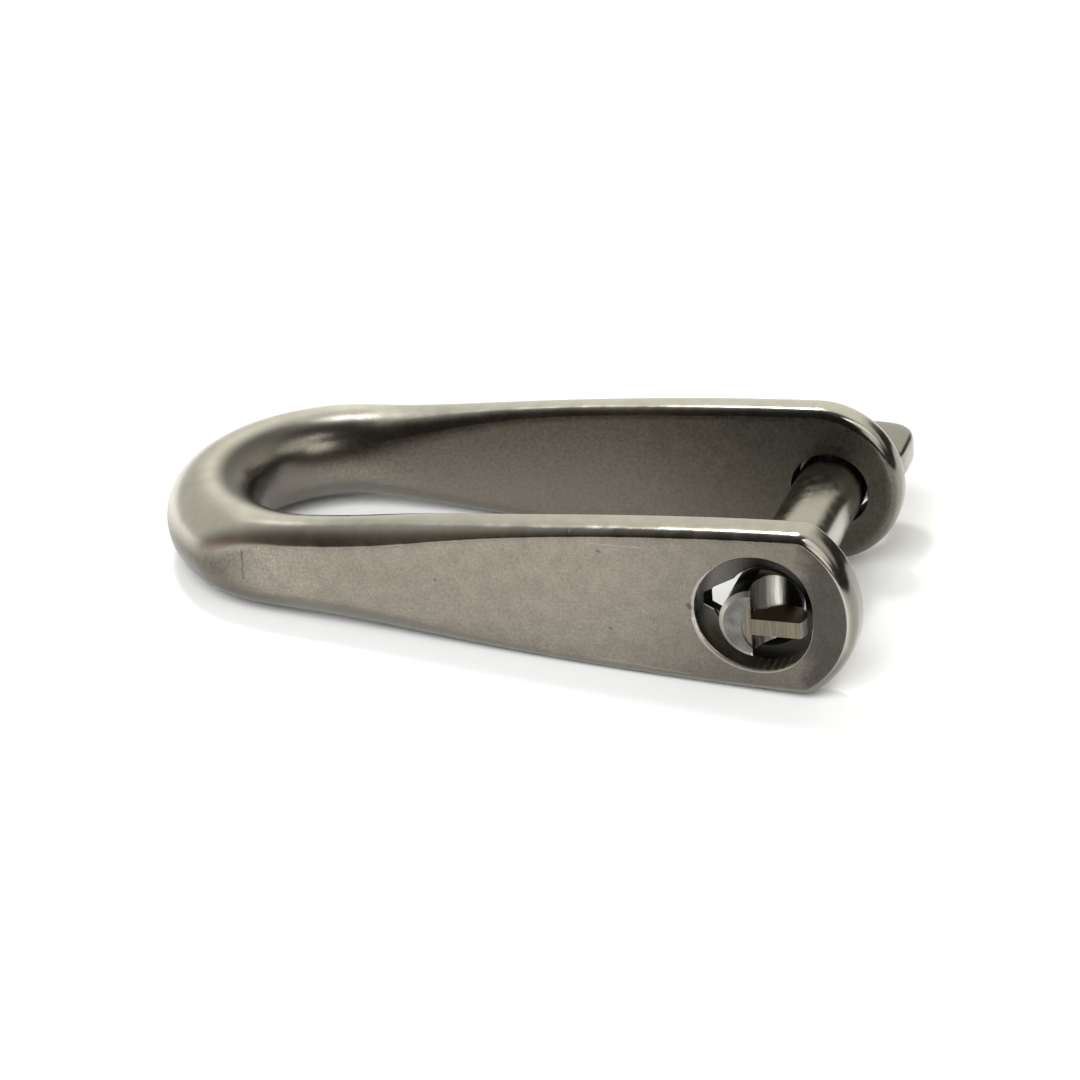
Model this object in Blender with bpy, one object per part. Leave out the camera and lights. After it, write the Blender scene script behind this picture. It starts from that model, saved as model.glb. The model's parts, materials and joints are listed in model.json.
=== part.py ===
"""Long D shackle with a captive key pin, lying on its side.

The body is one forging: a round bar bent into a bow, flattened into two arms and two ears.
The pin is one piece too: a thumb paddle outside the far ear, a plain shank through both ears,
and a milled key at the near end that turns in a recess of the near ear.

Local axes before the part is laid down: X runs from the bow to the ears, Y runs along the pin and
Z is up. The origin is halfway between the ears at mid height, just above the pin's axis.
All driving dimensions are in millimetres.
"""
import math

import bmesh
import bpy
import numpy as np
from mathutils import Matrix, Vector

MM = 0.001

# Bow and arms
ROD_RADIUS = 3.35
BOW_START_X = -33.4
BOW_REACH = 10.3
ROD_CENTRE_Y = 9.35
ARM_OUTER_Y = 11.0
ARM_INNER_Y = 8.4
ARM_HALF_HEIGHT = 6.2
HEIGHT_GROWS_FROM_X = -34.0
HEIGHT_FULL_AT_X = 3.3
HEIGHT_POWER = 1.5
THIN_FROM_X = -36.0
THIN_DONE_X = -16.0
SQUARE_FROM_X = -30.0
SQUARE_DONE_X = -8.0
ROUND_EXPONENT = 2.0
SQUARE_EXPONENT = 5.0
EDGE_SOFTNESS = 0.45
EDGE_BAND = 0.9
BOW_FLAT_NEEDS_SLOPE = 0.05

# Ears
NEAR_EAR_RADIUS = 7.25
NEAR_EAR_CENTRE_X = -0.5
NEAR_CORNER_RADIUS = 1.6
FAR_EAR_CENTRE_X = -0.9

# Holes
PIN_AXIS_Z = -0.15
HOLE_RADIUS = 2.8
HOLE_CUT_FROM_Y = 7.5
HOLE_CUT_TO_Y = 12.0
RECESS_CUT_FROM_Y = -13.2
RECESS_FLOOR_Y = -9.35
RECESS_CENTRE_X = -0.1
RECESS_LEFT = 4.45
RECESS_RIGHT = 3.85
RECESS_HALF_HEIGHT = 4.28
RECESS_LEFT_EXPONENT = 1.95
RECESS_RIGHT_EXPONENT = 2.3
STEP_FLOOR_Y = -9.15
STEP_CENTRE_X = -0.3
STEP_HALF_WIDTH = 3.5
STEP_HALF_HEIGHT = 2.85
NOTCH_CUT_FROM_Y = -9.7
NOTCH_CUT_TO_Y = -7.9
NOTCH_FRONT_TIP_X = -4.53
NOTCH_BACK_TIP_X = -3.79
NOTCH_MIDDLE_TIP_X = -4.16
NOTCH_MIDDLE_HALF_HEIGHT = 0.55
NOTCH_MOUTH_X = -1.5
NOTCH_SLOPE = 0.54

# Pin
PIN_RADIUS = 2.5
PIN_NEAR_Y = -12.3
PIN_CHAMFER = 0.3
SHANK_END_Y = 11.3
PADDLE_CENTRE_Y = 14.7
PADDLE_HALF_LENGTH = 3.6
PADDLE_HALF_WIDTH = 4.4
PADDLE_HALF_THICKNESS = 1.5
PADDLE_FLAT_FROM_Y = 13.2
PADDLE_EXPONENT = 3.4
PADDLE_TIP_EXPONENT = 6.0
LANYARD_HOLE_RADIUS = 1.4
LANYARD_HOLE_Y = 14.9
LANYARD_CUT_HALF_HEIGHT = 3.0

# Key milled at the near end of the pin
KEY_CENTRE_X = 1.85
KEY_CENTRE_Y = -11.3
KEY_RADIUS = 1.6
KEY_BOTTOM_Z = -0.8
KEY_TOP_Z = 0.4
KEY_ROOT_X = -0.9
KEY_FRONT_Y = -12.2
KEY_ROOT_BACK_Y = -10.6
POCKET_CENTRE_X = 2.15
POCKET_CENTRE_Y = -11.4
POCKET_RADIUS = 2.5
POCKET_HALF_HEIGHT = 4.0

# Finish
FORGED_COLOUR = (0.56, 0.54, 0.50)
FORGED_ROUGHNESS = 0.34
TURNED_COLOUR = (0.60, 0.59, 0.56)
TURNED_ROUGHNESS = 0.26

# Mesh fineness
RING_POINTS = 48
EDGE_STRIP_POINTS = 7
ARM_STATIONS = 16
CORNER_STATIONS = 4
END_STATIONS = 12
BOW_STATIONS = 30
PADDLE_STATIONS = 22
END_ANGLE_STOP = 3.0
CORNER_CROWDING = 0.14
HOLE_SIDES = 64
PIN_SIDES = 64
KEY_STEPS = 28
SECTION_HALVINGS = 40
TIPPING_STEPS = 30


def remove_everything():
    for thing in list(bpy.data.objects):
        bpy.data.objects.remove(thing, do_unlink=True)


def clamp01(value):
    return min(max(value, 0.0), 1.0)


def smooth_step(value):
    value = clamp01(value)
    return value * value * (3.0 - 2.0 * value)


def arm_half_height(x):
    grown = clamp01((x - HEIGHT_GROWS_FROM_X) / (HEIGHT_FULL_AT_X - HEIGHT_GROWS_FROM_X))
    rise = 1.0 - (1.0 - grown) ** HEIGHT_POWER
    return ROD_RADIUS + (ARM_HALF_HEIGHT - ROD_RADIUS) * rise


def inner_face_y(x):
    thinned = clamp01((x - THIN_FROM_X) / (THIN_DONE_X - THIN_FROM_X))
    rod_inner = ROD_CENTRE_Y - ROD_RADIUS
    return rod_inner + (ARM_INNER_Y - rod_inner) * (1.0 - (1.0 - thinned) ** 2)


def squareness(x):
    blend = smooth_step((x - SQUARE_FROM_X) / (SQUARE_DONE_X - SQUARE_FROM_X))
    return ROUND_EXPONENT + (SQUARE_EXPONENT - ROUND_EXPONENT) * blend


def soft_max(first, second):
    """The larger of two distances, rounded over where they cross, as a tumbled edge is."""
    overlap = np.maximum(EDGE_SOFTNESS - np.abs(first - second), 0.0)
    return np.maximum(first, second) + overlap * overlap / (4.0 * EDGE_SOFTNESS)


def section_distance(across, up, outer, inner, half_height, exponent):
    """Below zero inside a cross-section: a round or squared bar cut by its two side faces."""
    squared = (exponent - ROUND_EXPONENT) / (SQUARE_EXPONENT - ROUND_EXPONENT)
    middle = 0.5 * (outer - inner) * squared
    bar = np.abs((across - middle) / ROD_RADIUS) ** exponent + np.abs(up / half_height) ** exponent
    bar = (bar ** (1.0 / exponent) - 1.0) * half_height
    faces = soft_max(across - outer, -inner - across)
    return soft_max(bar, faces)


def section(outer, inner, half_height, exponent):
    """Points of one cross-section as (outward distance from the bar centre, height)."""
    steps = np.arange(RING_POINTS) * 2.0 * math.pi / RING_POINTS
    angles = steps + CORNER_CROWDING * np.sin(4.0 * steps)
    middle = 0.5 * (outer - inner)
    run = 0.5 * (outer + inner) * np.cos(angles)
    rise = half_height * np.sin(angles)
    length = np.hypot(run, rise)
    run = run / length
    rise = rise / length
    low = np.zeros(RING_POINTS)
    high = np.full(RING_POINTS, half_height + ROD_RADIUS)
    for _ in range(SECTION_HALVINGS):
        reach = 0.5 * (low + high)
        distance = section_distance(
            middle + reach * run, reach * rise, outer, inner, half_height, exponent
        )
        low = np.where(distance < 0.0, reach, low)
        high = np.where(distance < 0.0, high, reach)
    return middle + low * run, low * rise


def bow_ring(angle):
    """Ring across the bow at an angle along its half ellipse, near arm first."""
    centre_x = BOW_START_X - BOW_REACH * math.sin(angle)
    centre_y = -ROD_CENTRE_Y * math.cos(angle)
    normal = np.array([-math.sin(angle) / BOW_REACH, -math.cos(angle) / ROD_CENTRE_Y])
    normal = normal / np.linalg.norm(normal)
    outer = ROD_RADIUS
    if abs(normal[1]) > BOW_FLAT_NEEDS_SLOPE:
        outer = min(outer, (ARM_OUTER_Y - abs(centre_y)) / abs(normal[1]))
    inner = ROD_CENTRE_Y - inner_face_y(centre_x)
    across, up = section(outer, inner, ROD_RADIUS, ROUND_EXPONENT)
    return np.stack([centre_x + across * normal[0], centre_y + across * normal[1], up], axis=1)


def outline_ring(side, point, normal, half_height):
    """Ring of an arm or ear whose edge follows an outline point and its normal."""
    x_station = min(point[0], HEIGHT_FULL_AT_X)
    outer = ARM_OUTER_Y - ROD_CENTRE_Y
    inner = ROD_CENTRE_Y - inner_face_y(x_station)
    across, up = section(outer, inner, half_height, squareness(x_station))
    depth = np.minimum(half_height - np.abs(up), EDGE_BAND)
    fraction = np.minimum(np.abs(up) / (half_height - EDGE_BAND), 1.0)
    x = point[0] - depth * normal[0]
    z = np.sign(up) * (point[1] - depth * normal[1]) * fraction
    return np.stack([x, side * (ROD_CENTRE_Y + across), z], axis=1)


def arm_rings(side):
    rings = []
    for step in range(ARM_STATIONS):
        x = BOW_START_X + (straight_end(side) - BOW_START_X) * (step + 1) / ARM_STATIONS
        height = arm_half_height(x)
        rings.append(outline_ring(side, (x, height), (0.0, 1.0), height))
    return rings


def ear_shape(side):
    """Centre and radius of the end arc, and centre and radius of the softened corner."""
    if side > 0:
        return FAR_EAR_CENTRE_X, arm_half_height(FAR_EAR_CENTRE_X), FAR_EAR_CENTRE_X, 0.0
    reach = NEAR_EAR_RADIUS - NEAR_CORNER_RADIUS
    rise = ARM_HALF_HEIGHT - NEAR_CORNER_RADIUS
    corner_x = NEAR_EAR_CENTRE_X + math.sqrt(reach * reach - rise * rise)
    return NEAR_EAR_CENTRE_X, NEAR_EAR_RADIUS, corner_x, NEAR_CORNER_RADIUS


def straight_end(side):
    return ear_shape(side)[2]


def arc_rings(side, centre, radius, angles, half_height):
    rings = []
    for angle in angles:
        normal = (math.cos(angle), math.sin(angle))
        point = (centre[0] + radius * normal[0], centre[1] + radius * normal[1])
        rings.append(outline_ring(side, point, normal, half_height))
    return rings


def steps_between(start, stop, count):
    return [start + (stop - start) * (step + 1) / count for step in range(count)]


def ear_rings(side):
    centre_x, radius, corner_x, corner_radius = ear_shape(side)
    height = arm_half_height(corner_x)
    quarter_turn = 0.5 * math.pi
    end_starts = quarter_turn
    rings = []
    if corner_radius > 0.0:
        corner = (corner_x, height - corner_radius)
        end_starts = math.atan2(corner[1], corner_x - centre_x)
        turns = steps_between(quarter_turn, end_starts, CORNER_STATIONS)
        rings = arc_rings(side, corner, corner_radius, turns, height)
    turns = steps_between(end_starts, math.radians(END_ANGLE_STOP), END_STATIONS)
    return rings + arc_rings(side, (centre_x, 0.0), radius, turns, height)


def close_by_halves(mesh, ring):
    """Close the tip of an ear, where the upper and lower halves of a ring face each other."""
    quarter = RING_POINTS // 4
    first = quarter - EDGE_STRIP_POINTS
    last = quarter + EDGE_STRIP_POINTS
    for index in range(first, last):
        mesh.faces.new((ring[index], ring[index + 1], ring[-index - 1], ring[-index]))
    outer_side = list(range(first, -first - 1, -1))
    inner_side = list(range(last, RING_POINTS - last + 1))
    mesh.faces.new([ring[index] for index in outer_side])
    mesh.faces.new([ring[index] for index in inner_side])


def loft(mesh, rings):
    loops = [[mesh.verts.new(Vector(point) * MM) for point in ring] for ring in rings]
    for first, second in zip(loops, loops[1:]):
        count = len(first)
        for index in range(count):
            after = (index + 1) % count
            mesh.faces.new((first[index], first[after], second[after], second[index]))
    return loops


def finish_mesh(mesh, name):
    bmesh.ops.recalc_face_normals(mesh, faces=mesh.faces)
    for face in mesh.faces:
        face.smooth = True
    data = bpy.data.meshes.new(name)
    mesh.to_mesh(data)
    mesh.free()
    thing = bpy.data.objects.new(name, data)
    bpy.context.scene.collection.objects.link(thing)
    return thing


def forging():
    near = arm_rings(-1.0) + ear_rings(-1.0)
    far = arm_rings(1.0) + ear_rings(1.0)
    bow = [bow_ring(math.pi * step / BOW_STATIONS) for step in range(BOW_STATIONS + 1)]
    mesh = bmesh.new()
    loops = loft(mesh, near[::-1] + bow + far)
    close_by_halves(mesh, loops[0])
    close_by_halves(mesh, loops[-1])
    return finish_mesh(mesh, "shackle_body")


def block(name, rings):
    """Closed block between two outlines given as rings of points."""
    mesh = bmesh.new()
    loops = loft(mesh, rings)
    mesh.faces.new(loops[0])
    mesh.faces.new(loops[1])
    return finish_mesh(mesh, name)


def ring_at_y(outline, y):
    return [(x, y, z) for x, z in outline]


def prism_along_y(name, outline, low, high):
    return block(name, [ring_at_y(outline, low), ring_at_y(outline, high)])


def prism_along_z(name, outline, low, high):
    rings = [[(x, y, level) for x, y in outline] for level in (low, high)]
    return block(name, rings)


def round_turns():
    """Angles round a hole, half a step off the axes so that no point meets another mesh's seam."""
    return [2.0 * math.pi * (index + 0.5) / HOLE_SIDES for index in range(HOLE_SIDES)]


def oval(centre, half_width, half_height):
    points = []
    for turn in round_turns():
        across = half_width * math.cos(turn)
        up = half_height * math.sin(turn)
        points.append((centre[0] + across, centre[1] + up))
    return points


def circle(centre, radius):
    return oval(centre, radius, radius)


def recess_outline():
    """Egg-shaped recess, a little longer and more pointed towards the bow."""
    points = []
    for turn in round_turns():
        run = math.cos(turn)
        rise = math.sin(turn)
        width = RECESS_RIGHT if run > 0.0 else RECESS_LEFT
        power = 2.0 / (RECESS_RIGHT_EXPONENT if run > 0.0 else RECESS_LEFT_EXPONENT)
        x = RECESS_CENTRE_X + width * math.copysign(abs(run) ** power, run)
        z = RECESS_HALF_HEIGHT * math.copysign(abs(rise) ** power, rise)
        points.append((x, z))
    return points


def notch_outline(tip_x):
    """Tapering notch beside the hole, where the turned key passes; its mouth is inside the hole."""
    tip = NOTCH_MIDDLE_HALF_HEIGHT + NOTCH_SLOPE * (tip_x - NOTCH_MIDDLE_TIP_X)
    mouth = NOTCH_MIDDLE_HALF_HEIGHT + NOTCH_SLOPE * (NOTCH_MOUTH_X - NOTCH_MIDDLE_TIP_X)
    return [(tip_x, -tip), (NOTCH_MOUTH_X, -mouth), (NOTCH_MOUTH_X, mouth), (tip_x, tip)]


def combine(target, tool, operation):
    tool.hide_render = True
    tool.display_type = "WIRE"
    step = target.modifiers.new("combine", "BOOLEAN")
    step.operation = operation
    step.solver = "EXACT"
    step.object = tool
    evaluated = target.evaluated_get(bpy.context.evaluated_depsgraph_get())
    result = bpy.data.meshes.new_from_object(evaluated)
    target.modifiers.clear()
    target.data = result
    bpy.data.objects.remove(tool, do_unlink=True)


def notch():
    """Cutter for the key's notch, whose end wall slopes so that the notch narrows inwards."""
    front = ring_at_y(notch_outline(NOTCH_FRONT_TIP_X), NOTCH_CUT_FROM_Y)
    back = ring_at_y(notch_outline(NOTCH_BACK_TIP_X), NOTCH_CUT_TO_Y)
    return block("notch", [front, back])


def shackle_body():
    body = forging()
    hole = circle((0.0, PIN_AXIS_Z), HOLE_RADIUS)
    step = oval((STEP_CENTRE_X, 0.0), STEP_HALF_WIDTH, STEP_HALF_HEIGHT)
    cutters = [
        prism_along_y("recess", recess_outline(), RECESS_CUT_FROM_Y, RECESS_FLOOR_Y),
        prism_along_y("step", step, RECESS_CUT_FROM_Y, STEP_FLOOR_Y),
        prism_along_y("near_hole", hole, -HOLE_CUT_TO_Y, -HOLE_CUT_FROM_Y),
        notch(),
        prism_along_y("far_hole", hole, HOLE_CUT_FROM_Y, HOLE_CUT_TO_Y),
    ]
    for cutter in cutters:
        combine(body, cutter, "DIFFERENCE")
    return body


def pin_ring(y, half_width, half_thickness):
    turns = [2.0 * math.pi * index / PIN_SIDES for index in range(PIN_SIDES)]
    return [(half_width * math.cos(turn), y, half_thickness * math.sin(turn)) for turn in turns]


def paddle_half_width(y):
    part = clamp01(abs(y - PADDLE_CENTRE_Y) / PADDLE_HALF_LENGTH)
    outline = PADDLE_HALF_WIDTH * (1.0 - part ** PADDLE_EXPONENT) ** (1.0 / PADDLE_EXPONENT)
    if y < PADDLE_CENTRE_Y:
        return max(outline, PIN_RADIUS)
    return outline


def paddle_half_thickness(y):
    flattened = smooth_step((y - SHANK_END_Y) / (PADDLE_FLAT_FROM_Y - SHANK_END_Y))
    thickness = PIN_RADIUS + (PADDLE_HALF_THICKNESS - PIN_RADIUS) * flattened
    part = clamp01((y - PADDLE_CENTRE_Y) / PADDLE_HALF_LENGTH)
    return thickness * math.sqrt(1.0 - part ** PADDLE_TIP_EXPONENT)


def pin_blank():
    """Chamfered round shank that flattens and widens into the thumb paddle."""
    end_radius = PIN_RADIUS - PIN_CHAMFER
    rings = [
        pin_ring(PIN_NEAR_Y, end_radius, end_radius),
        pin_ring(PIN_NEAR_Y + PIN_CHAMFER, PIN_RADIUS, PIN_RADIUS),
        pin_ring(SHANK_END_Y, PIN_RADIUS, PIN_RADIUS),
    ]
    paddle_end_y = PADDLE_CENTRE_Y + PADDLE_HALF_LENGTH
    for step in range(1, PADDLE_STATIONS):
        turn = 0.5 * math.pi * step / PADDLE_STATIONS
        y = SHANK_END_Y + (paddle_end_y - SHANK_END_Y) * math.sin(turn)
        rings.append(pin_ring(y, paddle_half_width(y), paddle_half_thickness(y)))
    mesh = bmesh.new()
    loops = loft(mesh, rings)
    mesh.faces.new(loops[0])
    mesh.faces.new(loops[-1])
    return finish_mesh(mesh, "key_pin")


def key_outline():
    """Key seen from above: a disc with its front cut flat, and a root that enters the pin."""
    front = math.asin((KEY_FRONT_Y - KEY_CENTRE_Y) / KEY_RADIUS)
    back = math.pi - math.asin((KEY_ROOT_BACK_Y - KEY_CENTRE_Y) / KEY_RADIUS)
    points = []
    for index in range(KEY_STEPS + 1):
        turn = front + (back - front) * index / KEY_STEPS
        x = KEY_CENTRE_X + KEY_RADIUS * math.cos(turn)
        points.append((x, KEY_CENTRE_Y + KEY_RADIUS * math.sin(turn)))
    points.append((KEY_ROOT_X, KEY_ROOT_BACK_Y))
    points.append((KEY_ROOT_X, KEY_FRONT_Y))
    return points


def key_pin():
    pin = pin_blank()
    outline = circle((POCKET_CENTRE_X, POCKET_CENTRE_Y), POCKET_RADIUS)
    pocket = prism_along_z("pocket", outline, -POCKET_HALF_HEIGHT, POCKET_HALF_HEIGHT)
    combine(pin, pocket, "DIFFERENCE")
    combine(pin, prism_along_z("key", key_outline(), KEY_BOTTOM_Z, KEY_TOP_Z), "UNION")
    outline = circle((0.0, LANYARD_HOLE_Y), LANYARD_HOLE_RADIUS)
    reach = LANYARD_CUT_HALF_HEIGHT
    combine(pin, prism_along_z("lanyard_hole", outline, -reach, reach), "DIFFERENCE")
    return pin


def paint(thing, name, colour, roughness):
    material = bpy.data.materials.new(name)
    material.use_nodes = True
    shader = material.node_tree.nodes["Principled BSDF"]
    shader.inputs["Base Color"].default_value = (*colour, 1.0)
    shader.inputs["Metallic"].default_value = 1.0
    shader.inputs["Roughness"].default_value = roughness
    thing.data.materials.clear()
    thing.data.materials.append(material)


def resting_tip(body):
    """Angle about Y at which the bow and both ears touch the ground together."""
    run = (HEIGHT_FULL_AT_X - BOW_START_X) * MM
    halfway = 0.5 * BOW_START_X * MM
    tip = 0.0
    for _ in range(TIPPING_STEPS):
        turned = Matrix.Rotation(-tip, 4, "Y")
        points = [turned @ vertex.co for vertex in body.data.vertices]
        ears = min(point.z for point in points if point.x > halfway)
        bow = min(point.z for point in points if point.x <= halfway)
        tip += (bow - ears) / run
    return tip


def lay_down(body, pin):
    """Rest the shackle on the ground, centred on the origin, with the pin in its holes."""
    turned = Matrix.Rotation(-resting_tip(body), 4, "Y")
    body.data.transform(turned)
    to_hole_axis = Vector((0.0, 0.0, PIN_AXIS_Z * MM))
    pin.data.transform(turned @ Matrix.Translation(to_hole_axis))
    points = [vertex.co for thing in (body, pin) for vertex in thing.data.vertices]
    low = Vector([min(point[axis] for point in points) for axis in range(3)])
    high = Vector([max(point[axis] for point in points) for axis in range(3)])
    move = Vector((-0.5 * (low.x + high.x), -0.5 * (low.y + high.y), -low.z))
    body.data.transform(Matrix.Translation(move))
    axis_point = turned @ to_hole_axis
    pin.data.transform(Matrix.Translation(-axis_point))
    pin.location = axis_point + move


def build():
    remove_everything()
    body = shackle_body()
    pin = key_pin()
    paint(body, "forged_steel", FORGED_COLOUR, FORGED_ROUGHNESS)
    paint(pin, "turned_steel", TURNED_COLOUR, TURNED_ROUGHNESS)
    lay_down(body, pin)


build()
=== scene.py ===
"""Looks of a long D shackle with a captive key pin, lying on its side on a pale floor.

The forged body and the keyed pin are built again as finer meshes than the CAD parts, with ground
faces, rounded edges, chamfers and milled steps. Shapes are in local millimetres: X runs from the
bow to the ears, Y runs along the pin and Z is up. The body's origin is halfway between the ears at
mid height, just above the pin's axis. The pin's origin is on that axis.
"""
import json
import math

import bmesh
import bpy
import numpy as np
from mathutils import Matrix, Vector


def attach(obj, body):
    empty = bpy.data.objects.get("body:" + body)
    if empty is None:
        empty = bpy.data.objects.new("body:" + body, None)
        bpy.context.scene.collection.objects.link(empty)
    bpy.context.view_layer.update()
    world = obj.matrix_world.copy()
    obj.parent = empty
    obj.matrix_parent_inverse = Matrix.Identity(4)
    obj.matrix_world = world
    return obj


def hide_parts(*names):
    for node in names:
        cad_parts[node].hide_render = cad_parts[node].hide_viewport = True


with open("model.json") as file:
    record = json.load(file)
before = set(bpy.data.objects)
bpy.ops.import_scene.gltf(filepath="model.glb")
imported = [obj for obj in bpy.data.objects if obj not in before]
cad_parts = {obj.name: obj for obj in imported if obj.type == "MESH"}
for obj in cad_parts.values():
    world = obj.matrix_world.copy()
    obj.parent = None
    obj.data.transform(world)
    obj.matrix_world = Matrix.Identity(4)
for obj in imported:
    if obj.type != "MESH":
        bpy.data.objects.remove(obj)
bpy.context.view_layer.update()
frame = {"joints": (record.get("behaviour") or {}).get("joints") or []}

MM = 0.001

# Bow and arms
ROD_RADIUS = 3.35
BOW_START_X = -33.4
BOW_REACH = 10.19
ROD_CENTRE_Y = 9.35
ARM_OUTER_Y = 11.0
ARM_INNER_Y = 8.4
ARM_HALF_HEIGHT = 6.195
HEIGHT_GROWS_FROM_X = -34.0
HEIGHT_FULL_AT_X = 3.3
HEIGHT_POWER = 1.5
THIN_FROM_X = -36.0
THIN_DONE_X = -16.0
SQUARE_FROM_X = -30.0
SQUARE_DONE_X = -8.0
ROUND_EXPONENT = 2.0
SQUARE_EXPONENT = 5.0
OUTER_SOFTNESS = 1.4
ROUND_OUTER_SOFTNESS = 1.9
NEAR_INNER_SOFTNESS = 0.5
FAR_INNER_SOFTNESS = 1.0
GROUND_SOFTNESS = 0.1
GROUND_AWAY = 0.16
GROUND_FADES_FROM_X = -34.0
GROUND_FADED_AT_X = -40.0
GROUND_FADED_SOFTNESS = 1.2
GROUND_FADED_LIFT = 0.3
SLOPE_EASE = 4.0
EDGE_BAND = 1.3
BOW_FLAT_NEEDS_SLOPE = 0.05

# Ears
NEAR_EAR_RADIUS = 7.245
NEAR_EAR_CENTRE_X = -0.5
NEAR_CORNER_RADIUS = 1.6
FAR_EAR_CENTRE_X = -0.9

# Holes
PIN_AXIS_Z = -0.15
HOLE_RADIUS = 2.8
RECESS_FLOOR_Y = -9.35
RECESS_CENTRE_X = -0.1
RECESS_LEFT = 4.45
RECESS_RIGHT = 3.85
RECESS_HALF_HEIGHT = 4.28
RECESS_LEFT_EXPONENT = 1.95
RECESS_RIGHT_EXPONENT = 2.3
STEP_FLOOR_Y = -9.15
STEP_CENTRE_X = -0.3
STEP_HALF_WIDTH = 3.5
STEP_HALF_HEIGHT = 2.85
NOTCH_CUT_FROM_Y = -9.7
NOTCH_CUT_TO_Y = -7.9
NOTCH_FRONT_TIP_X = -4.53
NOTCH_BACK_TIP_X = -3.79
NOTCH_MIDDLE_TIP_X = -4.16
NOTCH_MIDDLE_HALF_HEIGHT = 0.55
NOTCH_MOUTH_X = -1.5
NOTCH_SLOPE = 0.54
RIM_BREAK = 0.06
RIM_RUN = 0.5
# Depth into the hole and widening there, both in shares of RIM_BREAK
RIM_BREAK_STEPS = ((0.0, 1.0), (0.4, 0.4), (1.2, 0.0))

# Pin
PIN_RADIUS = 2.5
PIN_NEAR_Y = -12.3
PIN_CHAMFER = 0.34
PIN_CHAMFER_DEPTH = 0.26
SHANK_END_Y = 11.3
PADDLE_CENTRE_Y = 14.7
PADDLE_HALF_LENGTH = 3.57
PADDLE_HALF_WIDTH = 4.4
PADDLE_HALF_THICKNESS = 1.5
PADDLE_FLAT_FROM_Y = 13.2
PADDLE_EXPONENT = 3.4
PADDLE_SECTION_EXPONENT = 4.5
PADDLE_TIP_EXPONENT = 6.0
LANYARD_HOLE_RADIUS = 1.4
LANYARD_HOLE_Y = 14.9

# Key milled at the near end of the pin
KEY_CENTRE_X = 1.85
KEY_CENTRE_Y = -11.3
KEY_RADIUS = 1.6
KEY_BOTTOM_Z = -0.8
KEY_TOP_Z = 0.4
KEY_ROOT_X = -0.7
KEY_FRONT_Y = -12.17
KEY_ROOT_BACK_Y = -10.6
POCKET_CENTRE_X = 2.15
POCKET_CENTRE_Y = -11.4
POCKET_RADIUS = 2.5
MILLED_STEP_X = 1.16
MILLED_STEP_RADIUS = 2.06
MILLED_STEP_DEEPER = 0.01
CUTTER_OVERRUN = 1.0
POCKET_CUTTER_HALF_HEIGHT = 4.0
LANYARD_CUTTER_HALF_HEIGHT = 3.0

# Mesh fineness
HALF_RING_STEPS = 64
SECTION_SAMPLES = 721
TURNING_SHARE = 0.62
ARM_STATIONS = 72
CORNER_STATIONS = 8
END_STATIONS = 44
BOW_STATIONS = 96
END_ANGLE_STOP = 1.0
HOLE_SIDES = 192
PIN_SIDES = 144
PADDLE_STATIONS = 60
KEY_STEPS = 56
SECTION_HALVINGS = 34
TIPPING_STEPS = 30
SHARP_ANGLE = 32.0
TIP_TOLERANCE = 0.999


# ---------------------------------------------------------------- shapes

def clamp01(value):
    return min(max(value, 0.0), 1.0)


def smooth_step(value):
    value = clamp01(value)
    return value * value * (3.0 - 2.0 * value)


def eased(run):
    """A run that starts at zero, with its start rounded over."""
    if run <= -SLOPE_EASE:
        return 0.0
    if run >= SLOPE_EASE:
        return run
    return (run + SLOPE_EASE) ** 2 / (4.0 * SLOPE_EASE)


def arm_half_height(x):
    grown = clamp01(eased(x - HEIGHT_GROWS_FROM_X) / (HEIGHT_FULL_AT_X - HEIGHT_GROWS_FROM_X))
    rise = 1.0 - (1.0 - grown) ** HEIGHT_POWER
    return ROD_RADIUS + (ARM_HALF_HEIGHT - ROD_RADIUS) * rise


def inner_face_y(x):
    thinned = clamp01(eased(x - THIN_FROM_X) / (THIN_DONE_X - THIN_FROM_X))
    rod_inner = ROD_CENTRE_Y - ROD_RADIUS
    return rod_inner + (ARM_INNER_Y - rod_inner) * (1.0 - (1.0 - thinned) ** 2)


def squareness(x):
    blend = smooth_step((x - SQUARE_FROM_X) / (SQUARE_DONE_X - SQUARE_FROM_X))
    return ROUND_EXPONENT + (SQUARE_EXPONENT - ROUND_EXPONENT) * blend


def soft_max(first, second, softness):
    overlap = np.maximum(softness - np.abs(first - second), 0.0)
    return np.maximum(first, second) + overlap * overlap / (4.0 * softness)


def ground_fades(x):
    """The ground flat is crisp along the arms and fades out round the bow."""
    return smooth_step((x - GROUND_FADES_FROM_X) / (GROUND_FADED_AT_X - GROUND_FADES_FROM_X))


def section_distance(across, up, outer, inner, half_height, exponent, ground, inner_softness):
    """Below zero inside: a forged bar with rounded edges, then ground flat on its outer side."""
    squared = (exponent - ROUND_EXPONENT) / (SQUARE_EXPONENT - ROUND_EXPONENT)
    middle = 0.5 * (outer - inner) * squared
    bar = np.abs((across - middle) / ROD_RADIUS) ** exponent + np.abs(up / half_height) ** exponent
    bar = (bar ** (1.0 / exponent) - 1.0) * half_height
    softness = ROUND_OUTER_SOFTNESS + (OUTER_SOFTNESS - ROUND_OUTER_SOFTNESS) * squared
    forged = soft_max(bar, across - outer - GROUND_AWAY, softness)
    forged = soft_max(forged, -inner - across, inner_softness)
    return soft_max(forged, across - outer, ground)


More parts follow.
